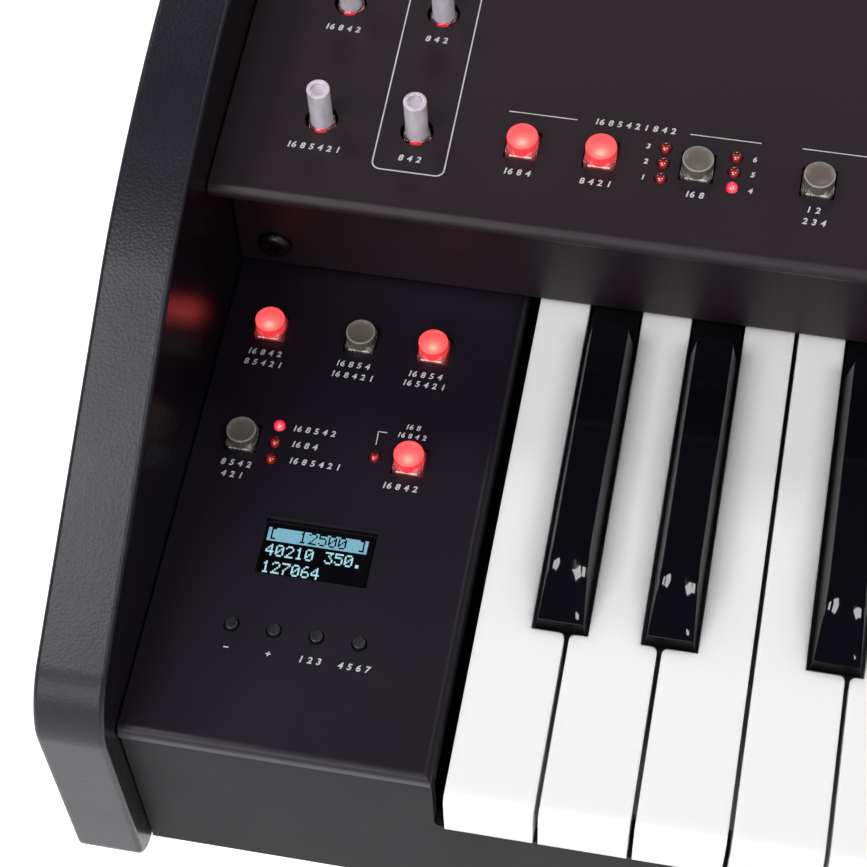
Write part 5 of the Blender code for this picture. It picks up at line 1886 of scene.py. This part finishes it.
@dataclass
class Printing(Assembly):
    """Plain numerals, lines and brackets in white ink."""

    cap_height: float = 0.0018
    line: float = 0.00028
    lift: float = 0.00003
    thickness: float = 0.00002
    slant: float = 0.18
    boldness: float = 0.00007
    cap_share: float = 0.72
    small: float = 0.0015
    scale_height: float = 0.0018
    scale_drop: float = 0.010
    scale_steps: int = 8
    tick: float = 0.0020
    tick_gap: float = 0.0105
    figure_gap: float = 0.0140

    def build(self, panel: TopPanel) -> None:
        """Print the console and the top panel."""
        self._print("console_printing", LAYOUT.console, self._console())
        self._print("panel_printing", LAYOUT.panel, self._panel(panel))

    def _print(self, name: str, place: Matrix, marks: list[Item]) -> None:
        """Join a surface's markings and set them on it."""
        self.fit(Bench.move(Bench.join(marks, name), place), INK, Slot.CASE)

    def _text(self, words: str, middle: Spot, height: float | None = None) -> Item:
        """Set a numeral or a sign.

        Args:
            words: What is set.
            middle: Middle of its place.
            height: Height of the figures.

        Returns:
            The lettering as a mesh.
        """
        Bench.clear()
        bpy.ops.object.text_add(location=(0.0, 0.0, 0.0))
        item = bpy.context.active_object
        item.data.body = words
        item.data.shear = self.slant
        item.data.resolution_u = 3
        item.data.extrude = self.thickness / 2
        item.data.size = (height or self.cap_height) / self.cap_share
        item.data.offset = self.boldness
        item.data.space_word = 1.5
        bpy.ops.object.convert(target="MESH")
        item = Bench.named("mark")
        spots = [vertex.co for vertex in item.data.vertices]
        low = Vector([min(spot[i] for spot in spots) for i in range(3)])
        high = Vector([max(spot[i] for spot in spots) for i in range(3)])
        centre = (low + high) / 2
        shift = (middle[0] - centre.x, middle[1] - centre.y, self.lift + self.thickness / 2)
        return Bench.move(item, Matrix.Translation(shift))

    def _stroke(self, start: Spot, end: Spot) -> Item:
        """Draw a straight line.

        Args:
            start: Where it starts.
            end: Where it ends.

        Returns:
            The line as a thin strip.
        """
        run = Vector(end) - Vector(start)
        strip = Bench.block("mark", (0.0, -self.line / 2, self.lift),
                            (run.length, self.line / 2, self.lift + self.thickness))
        Bench.round_edges(strip, self.line * 0.3, 2, lambda a, b: abs(a.z - b.z) > 1e-6)
        turn = Matrix.Rotation(math.atan2(run.y, run.x), 4, "Z")
        return Bench.move(strip, Matrix.Translation((*start, 0.0)) @ turn)

    def _frame(self, low: Spot, high: Spot, radius: float) -> Item:
        """Draw a rectangle with round corners.

        Args:
            low: Lowest corner.
            high: Highest corner.
            radius: Radius of the corners.

        Returns:
            The outline as a thin ring.
        """
        plate = Bench.plate("mark", low, high, self.lift)
        with Bench.editing(plate, "VERT"):
            bpy.ops.mesh.select_all(action="SELECT")
            bpy.ops.mesh.bevel(offset=radius, segments=8, affect="VERTICES")
            bpy.ops.mesh.select_mode(type="FACE")
            bpy.ops.mesh.select_all(action="SELECT")
            bpy.ops.mesh.inset(thickness=self.line * 1.25, depth=0.0)
            bpy.ops.mesh.delete(type="FACE")
        return Bench.apply(plate, "SOLIDIFY", thickness=self.thickness, offset=1.0)

    def _console(self) -> list[Item]:
        """Markings of the console, from its left edge and the fascia."""
        labels = [("16 8 4 2", (0.0125, -0.0281)), ("8 5 4 2 1", (0.0126, -0.0315)),
                  ("16 8 5 4", (0.0369, -0.0281)), ("16 8 4 2 1", (0.0373, -0.0316)),
                  ("16 8 5 4", (0.0567, -0.0282)), ("16 5 4 2 1", (0.0568, -0.0312)),
                  ("8 5 4 2", (0.0124, -0.0631)), ("4 2 1", (0.0120, -0.0666)),
                  ("16 8 4 2", (0.0565, -0.0632)), ("16 8 5 4 2", (0.0309, -0.0502)),
                  ("16 8 4", (0.0293, -0.0550)), ("16 8 5 4 2 1", (0.0330, -0.0600)),
                  ("−", (0.0218, -0.1160)), ("+", (0.0328, -0.1161)),
                  ("1 2 3", (0.0437, -0.1161)), ("4 5 6 7", (0.0550, -0.1162))]
        marks = [self._text(words, spot) for words, spot in labels]
        marks += [self._text("16 8", (0.0566, -0.0448), self.small),
                  self._text("16 8 4 2", (0.0567, -0.0475), self.small)]
        marks += [self._stroke((0.0477, -0.0516), (0.0476, -0.0475)),
                  self._stroke((0.0475, -0.0475), (0.0500, -0.0475))]
        return marks

    def _panel(self, panel: TopPanel) -> list[Item]:
        """Markings of the top panel, from its left edge and the fascia.

        Args:
            panel: Top panel with its control places.

        Returns:
            The markings.
        """
        labels = [("16 8 5 4 2 1", (0.0244, -0.0009)), ("8 4 2", (0.0493, -0.0007)),
                  ("16 8 4", (0.0770, -0.0005)), ("8 4 2 1", (0.0968, -0.0005)),
                  ("16 8", (0.1221, -0.0003)), ("1 2", (0.1519, -0.0002)),
                  ("2 3 4", (0.1523, -0.0038)), ("3 4", (0.1722, -0.0002)),
                  ("5 6", (0.1923, -0.0002)), ("16 8 5 4 2 1 8 4 2", (0.1045, 0.0181)),
                  ("16 8 4", (0.1722, 0.0181)), ("16 8 4 2", (0.0244, 0.0374)),
                  ("8 4 2", (0.0493, 0.0374))]
        marks = [self._text(words, spot) for words, spot in labels]
        for x, figures in ((0.1085, "321"), (0.1356, "654")):
            for y, figure in zip((0.0126, 0.0079, 0.0030), figures):
                marks.append(self._text(figure, (x, y), self.small))
        for start, end in (((0.0718, 0.0178), (0.0895, 0.0178)),
                           ((0.1185, 0.0178), (0.1366, 0.0178)),
                           ((0.1470, 0.0178), (0.1660, 0.0178)),
                           ((0.1785, 0.0178), (0.1975, 0.0178))):
            marks.append(self._stroke(start, end))
        marks.append(self._frame((0.0399, -0.0051), (0.0588, 0.0570), 0.0023))
        near, far = panel.bar_y - panel.bar_travel, panel.bar_y
        left, *_, right = panel.bar_spots()
        heights = [far + (near - far) * i / self.scale_steps - self.scale_drop
                   for i in range(self.scale_steps + 1)]
        for side in (left - self.tick_gap, right + self.tick_gap):
            for y in heights:
                marks.append(self._stroke((side - self.tick / 2, y), (side + self.tick / 2, y)))
        for i, y in enumerate(heights[1:], start=1):
            for side in (left - self.figure_gap, right + self.figure_gap):
                marks.append(self._text(str(i), (side, y), self.scale_height))
        return marks


@dataclass
class Display(Assembly):
    """Dot display behind the console's window, with plain figures."""

    window: tuple[Spot, Spot] = Console.window
    depth: float = 0.0015
    lift: float = 0.00002
    pitch: Spot = (0.000433, 0.00049)
    margin: float = 0.0012
    glyphs: dict[str, tuple[int, ...]] = field(default_factory=lambda: {
        "0": (14, 17, 19, 21, 25, 17, 14), "1": (4, 12, 4, 4, 4, 4, 14),
        "2": (14, 17, 1, 2, 4, 8, 31), "3": (31, 2, 4, 2, 1, 17, 14),
        "4": (2, 6, 10, 18, 31, 2, 2), "5": (31, 16, 30, 1, 1, 17, 14),
        "6": (6, 8, 16, 30, 17, 17, 14), "7": (31, 1, 2, 4, 8, 8, 8),
        "8": (14, 17, 17, 14, 17, 17, 14), "9": (14, 17, 17, 15, 1, 2, 12),
        "[": (14, 8, 8, 8, 8, 8, 14), "]": (14, 2, 2, 2, 2, 2, 14),
        ".": (0, 0, 0, 0, 0, 12, 12), "-": (0, 0, 0, 31, 0, 0, 0), " ": (0,) * 7})

    def build(self) -> None:
        """Light the heading and the two rows of figures."""
        head = self._row("display_heading", "[  12500 ]", 0.0021, inverse=True)
        rows = Bench.join([self._row("row", "40210 350.", 0.0069),
                           self._row("row", "127064", 0.0119)], "display_rows")
        self.fit(Bench.move(head, LAYOUT.console), BAR_DOTS, Slot.DISPLAY)
        self.fit(Bench.move(rows, LAYOUT.console), DOTS, Slot.DISPLAY)

    def _row(self, name: str, words: str, drop: float, inverse: bool = False) -> Item:
        """Light one row of figures.

        Args:
            name: Name for the row.
            words: Figures and signs.
            drop: Distance from the window's back edge to the row's top.
            inverse: Light the ground instead of the figures.

        Returns:
            The lit dots.
        """
        (x0, _), (_, y1) = self.window
        wide, tall = self.pitch
        left, top = x0 + self.margin, y1 - drop
        border = 1 if inverse else 0
        columns, rows = 6 * len(words) + border, 7 + border
        row = Bench.plate(name, (left - border * wide, top - rows * tall),
                          (left + (columns - border) * wide, top), -self.depth + self.lift,
                          columns, rows)

        def dark(middle: Vector, normal: Vector) -> bool:
            """A dot of the grid isn't lit."""
            column = int((middle.x - left) / wide + 10) - 10
            line = int((top - middle.y) / tall)
            index, bit = divmod(column, 6)
            glyph = self.glyphs[words[index]] if 0 <= index < len(words) and line < 7 else (0,) * 7
            lit = bool(bit < 5 and line < 7 and glyph[line] >> (4 - bit) & 1)
            return lit if inverse else not lit
        return Bench.drop_faces(row, dark)


@dataclass
class Screws(Assembly):
    """Pan-head screws that hold the fascia, the back and the panel's rear flange."""

    radius: float = 0.0047
    rise: float = 0.0022
    dome: float = 0.0016
    cross: Spot = (0.0024, 0.00045)
    cross_floor: float = 0.0009
    cross_top: float = 0.004
    edge: float = 0.00008
    gap: float = 0.00005
    tip: float = 22.0
    fascia_step: float = 0.0725
    fascia_z: float = 0.0117
    back_x: tuple[float, ...] = (-0.44, -0.147, 0.147, 0.44)
    back_rows: tuple[tuple[str, float, float], ...] = (
        ("back_screw_low", 0.014, 0.75), ("back_screw_high", 0.124, 0.75),
        ("flange_screw", 0.138, 0.6))

    def build(self) -> None:
        """Model one screw and copy it to its places."""
        head = Bench.rod("head", (0.0, 0.0), self.radius, 0.0, self.rise, sides=48)
        Bench.round_edges(head, self.dome, 6, over(self.rise - NEAR))
        for x, y in (self.cross, self.cross[::-1]):
            Bench.carve(head, [Bench.block("cut", (-x, -y, self.cross_floor),
                                           (x, y, self.cross_top))])
        Bench.soften(head, self.edge, 1, 60.0)
        Bench.smooth(head, 30.0)
        forward = Matrix.Rotation(math.pi / 2, 4, "X")
        backward = Matrix.Rotation(-math.pi / 2, 4, "X")
        tip = Matrix.Rotation(math.radians(self.tip), 4, "Z")
        z = LAYOUT.key_top + self.fascia_z
        left = LAYOUT.keys_left - self.fascia_step
        places = [(f"fascia_screw_{end}", (x, LAYOUT.fascia_y - self.gap, z), forward, 1.0)
                  for end, x in (("left", left), ("right", -left))]
        places += [(f"{name}_{i}", (x, LAYOUT.back_y + self.gap, z), backward, size)
                   for i, x in enumerate(self.back_x, start=1)
                   for name, z, size in self.back_rows]
        for name, place, turn, size in places:
            self.stamp(head, name, Matrix.Translation(place) @ turn @ tip
                       @ Matrix.Scale(size, 4), BLACK_OXIDE, Slot.FITTING)
        Bench.discard(head)


@dataclass
class BackFittings(Assembly):
    """Nuts, rings and pins that dress the sockets on the back."""

    jack_first: float = 0.080
    jack_pitch: float = 0.022
    jack_z: float = 0.0268
    din_first: float = 0.225
    din_pitch: float = 0.026
    din_z: float = 0.0283
    data_x: float = 0.285
    data_z: float = 0.0243
    inlet_x: float = 0.1095
    inlet_z: float = 0.045
    proud: float = 0.00005
    through: float = 0.01
    nut_radius: float = 0.0072
    nut_bore: float = 0.0036
    nut_height: float = 0.0022
    ring_radius: float = 0.0094
    ring_bore: float = 0.0070
    ring_height: float = 0.0016
    insert_radius: float = 0.0062
    insert_y: Spot = (0.0075, 0.0030)
    pin_turns: tuple[float, ...] = (-180.0, -135.0, -90.0, -45.0, 0.0)
    pin_circle: float = 0.0038
    pin_hole: float = 0.0008
    pin_depth: float = 0.0060
    shell: Spot = (0.0052, 0.0047)
    shell_bore: Spot = (0.0041, 0.0038)
    shell_height: float = 0.0014
    blade: Spot = (0.00105, 0.00205)
    blade_y: Spot = (0.1530, 0.1622)
    blade_spots: tuple[Spot, ...] = ((-0.0070, -0.002), (0.0, 0.002), (0.0070, -0.002))

    def build(self) -> None:
        """Dress the jack, round, data and power sockets."""
        back = LAYOUT.back_y
        nut = Bench.rod("nut", (0.0, 0.0), self.nut_radius, back + self.proud,
                        back + self.nut_height, Axis.Y, 6)
        Bench.soften(nut, 0.0003, 2, 40.0)
        Bench.carve(nut, [Bench.rod("cut", (0.0, 0.0), self.nut_bore, back - self.through,
                                    back + self.through, Axis.Y, 40)])
        Bench.smooth(nut, 30.0)
        for i in range(6):
            x = LAYOUT.inner_left + self.jack_first + i * self.jack_pitch
            self.stamp(nut, f"jack_nut_{i + 1}", Matrix.Translation((x, 0.0, self.jack_z)),
                       NICKEL, Slot.FITTING)
        Bench.discard(nut)
        for i in range(2):
            self._round_socket(i + 1, LAYOUT.inner_left + self.din_first + i * self.din_pitch)
        self._data_socket(LAYOUT.inner_left + self.data_x)
        self._pins(LAYOUT.inner_right - self.inlet_x)

    def _round_socket(self, number: int, x: float) -> None:
        """Ring and five-hole insert of one round socket.

        Args:
            number: Number of the socket.
            x: Its place along the back.
        """
        back, z = LAYOUT.back_y, self.din_z
        ring = Bench.rod(f"round_socket_ring_{number}", (x, z), self.ring_radius,
                         back + self.proud, back + self.ring_height, Axis.Y, 56)
        Bench.soften(ring, 0.0004, 3, 40.0)
        Bench.carve(ring, [Bench.rod("cut", (x, z), self.ring_bore, back - self.through,
                                     back + self.through, Axis.Y, 48)])
        self.fit(Bench.smooth(ring, 30.0), NICKEL, Slot.FITTING)
        deep, front = self.insert_y
        insert = Bench.rod(f"round_socket_insert_{number}", (x, z), self.insert_radius,
                           back - deep, back - front, Axis.Y, 48)
        holes = []
        for turn in self.pin_turns:
            a = math.radians(turn)
            spot = (x + self.pin_circle * math.cos(a), z + self.pin_circle * math.sin(a))
            holes.append(Bench.rod("cut", spot, self.pin_hole, back - self.pin_depth, back,
                                   Axis.Y, 16))
        Bench.carve(insert, holes)
        Bench.soften(insert, 0.0001, 1, 60.0)
        self.fit(Bench.smooth(insert, 30.0), MOULDING, Slot.FITTING)

    def _data_socket(self, x: float) -> None:
        """Metal shell and tongue of the data socket.

        Args:
            x: Its place along the back.
        """
        back, z = LAYOUT.back_y, self.data_z
        wide, tall = self.shell
        shell = Bench.block("data_socket_shell", (x - wide, back + self.proud, z - tall),
                            (x + wide, back + self.shell_height, z + tall))
        Bench.round_edges(shell, 0.0010, 3, lambda a, b: abs(a.y - b.y) > 1e-4)
        wide, tall = self.shell_bore
        Bench.carve(shell, [Bench.block("cut", (x - wide, back - self.through, z - tall),
                                        (x + wide, back + self.through, z + tall))])
        self.fit(Bench.smooth(shell, 30.0), NICKEL, Slot.FITTING)

    def _pins(self, x: float) -> None:
        """Blades of the power inlet, over the solid's plain pins.

        Args:
            x: Middle of the plug's recess.
        """
        wide, tall = self.blade
        front, rear = self.blade_y
        for number, (step, rise) in enumerate(self.blade_spots, start=1):
            middle, z = x + step, self.inlet_z + rise
            blade = Bench.block(f"inlet_pin_{number}", (middle - wide, front, z - tall),
                                (middle + wide, rear, z + tall))
            Bench.soften(blade, 0.0005, 3)
            self.fit(Bench.smooth(blade, 40.0), NICKEL, Slot.FITTING)


@dataclass
class Feet(Assembly):
    """Four rubber feet with a rounded tread and a screw recess."""

    radius: float = 0.0110
    height: float = 0.0057
    tread: float = 0.0012
    recess: tuple[Spot, ...] = ((0.0045, 0.0), (0.0004, -0.0006), (0.0, -0.0020), (0.0010, 0.0))

    def build(self) -> None:
        """Model one foot and copy it under each corner."""
        foot = Bench.rod("foot", (0.0, 0.0), self.radius, 0.0, self.height, sides=48)
        Bench.round_edges(foot, self.tread, 4, along(z=0.0))
        Bench.dish(foot, lambda middle, normal: normal.z < -FACING and middle.xy.length < 1e-3,
                   self.recess)
        Bench.smooth(foot, 35.0)
        for node in ("foot_front_left", "foot_front_right", "foot_rear_left", "foot_rear_right"):
            low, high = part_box(node)
            place = Matrix.Translation(((low[0] + high[0]) / 2, (low[1] + high[1]) / 2, 0.0))
            self.fit(Bench.copy(foot, f"{node}_pad", place), RUBBER, Slot.FOOT, stands_for=[node])
        Bench.discard(foot)


@dataclass
class Carried(Assembly):
    """Solids that stay in view, each with a finish of its own."""

    finishes: dict[str, Finish] = field(default_factory=lambda: {
        "bottom_pan": COAT, "back_panel": COAT, "front_rail": RAIL_COAT, "key_chassis": ZINC,
        "console_board": BOARD, "top_board": BOARD, "main_board": MOULDING,
        "display_module": GLASS, "power_inlet": MOULDING, "power_switch": MOULDING})
    spare: dict[Slot, Finish] = field(default_factory=lambda: {
        Slot.CHEEK: LACQUER, Slot.CASE: COAT, Slot.KEY_WHITE: IVORY, Slot.KEY_BLACK: EBONY,
        Slot.CHASSIS: ZINC, Slot.BOARD: BOARD, Slot.BUTTON_LIT: SIDE_LIT,
        Slot.BUTTON_DARK: SIDE_DARK, Slot.KNOB: SHAFT, Slot.BAR_BROWN: BAR_FINISHES["b"][0],
        Slot.BAR_WHITE: BAR_FINISHES["w"][0], Slot.BAR_BLACK: BAR_FINISHES["k"][0],
        Slot.DISPLAY: GLASS, Slot.FITTING: MOULDING, Slot.FOOT: RUBBER})

    def build(self) -> None:
        """Give every solid a node material; hidden ones get their slot's own."""
        slots = {part["node"]: part["material_slot"] for part in frame["record"]["subparts"]}
        for name, node in frame["nodes"].items():
            finish = self.finishes.get(name) or self.spare[Slot(slots[name])]
            if not node.material_slots:
                node.data.materials.append(None)
            for place in node.material_slots:
                place.material = finish.material()
        log.info("Carried: %d solids finished", len(frame["nodes"]))


@dataclass
class Studio:
    """Pale floor, soft lamps and the photograph's camera."""

    subject: Point = (-0.36, -0.05, 0.10)
    horizon: Colour = (0.47, 0.465, 0.47)
    zenith: Colour = (0.020, 0.020, 0.024)
    turn: float = -13.390
    dip: float = 59.135
    roll: float = -3.321
    eye: Point = (0.05801, -0.37562, 0.56749)
    focal_pixels: float = 2499.8
    picture_pixels: float = 867.0
    sensor: float = 36.0

    def build(self) -> None:
        """Lay the floor, hang the lamps and set the camera."""
        self._floor()
        self._world()
        self._lamps()
        self._camera()
        bpy.context.scene.view_settings.view_transform = "Standard"

    def _floor(self) -> None:
        """Pale floor that shows as white where no shadow falls."""
        Bench.clear()
        bpy.ops.mesh.primitive_plane_add(size=14.0, location=(0.0, 0.0, 0.0))
        floor = Bench.named("studio_floor")
        shader = Shader("studio_floor")
        shader.levels({"Base Color": (0.80, 0.80, 0.81), "Roughness": 0.85,
                       "Specular IOR Level": 0.1})
        path = shader.node("LightPath")
        seen = shader.node("Math", operation="MAXIMUM")
        shader.wire(path.outputs["Is Camera Ray"], seen.inputs[0])
        shader.wire(path.outputs["Is Glossy Ray"], seen.inputs[1])
        both = shader.node("Math", operation="MAXIMUM")
        shader.wire(seen.outputs[0], both.inputs[0])
        shader.wire(path.outputs["Is Transmission Ray"], both.inputs[1])
        glow = shader.node("Emission", {"Color": (1.0, 1.0, 1.0, 1.0)})
        level = shader.node("Math", {1: 0.75}, operation="MULTIPLY")
        shader.wire(both.outputs[0], level.inputs[0])
        shader.wire(level.outputs[0], glow.inputs["Strength"])
        add = shader.node("AddShader")
        shader.wire(shader.surface.outputs[0], add.inputs[0])
        shader.wire(glow.outputs[0], add.inputs[1])
        shader.wire(add.outputs[0], shader.tree.nodes["Material Output"].inputs["Surface"])
        floor.data.materials.append(shader.material)

    def _world(self) -> None:
        """Soft room: pale at the horizon and dark overhead."""
        world = bpy.data.worlds.new("studio_world")
        bpy.context.scene.world = world
        world.use_nodes = True
        nodes, links = world.node_tree.nodes, world.node_tree.links
        source = nodes.new("ShaderNodeTexCoord")
        parts = nodes.new("ShaderNodeSeparateXYZ")
        ramp = nodes.new("ShaderNodeValToRGB")
        marks = ramp.color_ramp.elements
        marks[0].position, marks[0].color = 0.06, (*self.horizon, 1.0)
        marks[1].position, marks[1].color = 0.62, (*self.zenith, 1.0)
        links.new(source.outputs["Generated"], parts.inputs["Vector"])
        links.new(parts.outputs["Z"], ramp.inputs["Fac"])
        links.new(ramp.outputs["Color"], nodes["Background"].inputs["Color"])
        nodes["Background"].inputs["Strength"].default_value = 1.0

    def _lamp(self, name: str, place: Point, run: Point, size: Spot, power: float) -> None:
        """Hang one rectangular soft lamp that faces the organ.

        Args:
            name: Name for the lamp.
            place: Where it hangs, from the subject.
            run: Direction of its long side.
            size: Width and length.
            power: Power in watts.
        """
        data = bpy.data.lights.new(name, "AREA")
        data.shape = "RECTANGLE"
        data.size, data.size_y = size
        data.energy = power
        lamp = bpy.data.objects.new(name, data)
        bpy.context.collection.objects.link(lamp)
        back = Vector(place).normalized()
        side = Vector(run).cross(back).normalized()
        axes = Matrix((side, back.cross(side), back)).transposed().to_4x4()
        lamp.matrix_world = Matrix.Translation(Vector(self.subject) + Vector(place)) @ axes
        lamp.visible_camera = False

    def _lamps(self) -> None:
        """Key lamps at both sides of the camera, a low front fill, and small ones around."""
        across = (1.0, 0.0, 0.0)
        self._lamp("front_low", (-0.50, -2.08, 0.90), across, (0.80, 1.30), 22.0)
        self._lamp("key_left", (-0.58, -0.60, 1.20), across, (0.50, 0.66), 11.5)
        self._lamp("key_right", (0.64, -0.46, 1.20), across, (0.46, 0.46), 7.0)
        self._lamp("side_left", (-1.00, 0.72, 1.20), across, (0.34, 0.60), 3.6)
        self._lamp("side_right", (0.90, 0.72, 1.20), across, (0.34, 0.60), 4.0)
        self._lamp("rear", (-0.12, 1.56, 1.20), across, (0.30, 0.40), 2.8)

    def _camera(self) -> None:
        """Camera fitted to the photograph."""
        turn, dip, roll = (math.radians(angle) for angle in (self.turn, self.dip, self.roll))
        look = Vector((math.sin(turn) * math.cos(dip), math.cos(turn) * math.cos(dip),
                       -math.sin(dip)))
        level = Vector((math.cos(turn), -math.sin(turn), 0.0))
        rise = level.cross(look)
        right = level * math.cos(roll) + rise * math.sin(roll)
        up = rise * math.cos(roll) - level * math.sin(roll)
        data = bpy.data.cameras.new("photograph_camera")
        data.sensor_width = self.sensor
        data.lens = self.focal_pixels * self.sensor / self.picture_pixels
        data.clip_start, data.clip_end = 0.05, 50.0
        camera = bpy.data.objects.new("photograph_camera", data)
        bpy.context.collection.objects.link(camera)
        axes = Matrix((right, up, -look)).transposed().to_4x4()
        place = LAYOUT.manual @ Vector(self.eye)
        camera.matrix_world = Matrix.Translation(place) @ axes
        bpy.context.scene.camera = camera


def main() -> None:
    """Build every sub-assembly in order."""
    logging.basicConfig(level=logging.INFO, format="%(name)s %(message)s")
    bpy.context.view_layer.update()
    Carried().build()
    console, panel, whites = Console(), TopPanel(), WhiteKeys()
    Cheeks().build()
    panel.build()
    console.build()
    whites.build()
    BlackKeys(manual=whites).build()
    PushButtons().build(console, panel)
    MenuButtons().build(console)
    Lamps().build(console, panel)
    Knobs().build(panel)
    Drawbars().build(panel)
    Display().build()
    Printing().build(panel)
    Screws().build()
    BackFittings().build()
    Feet().build()
    Studio().build()


if __name__ == "__main__":
    main()
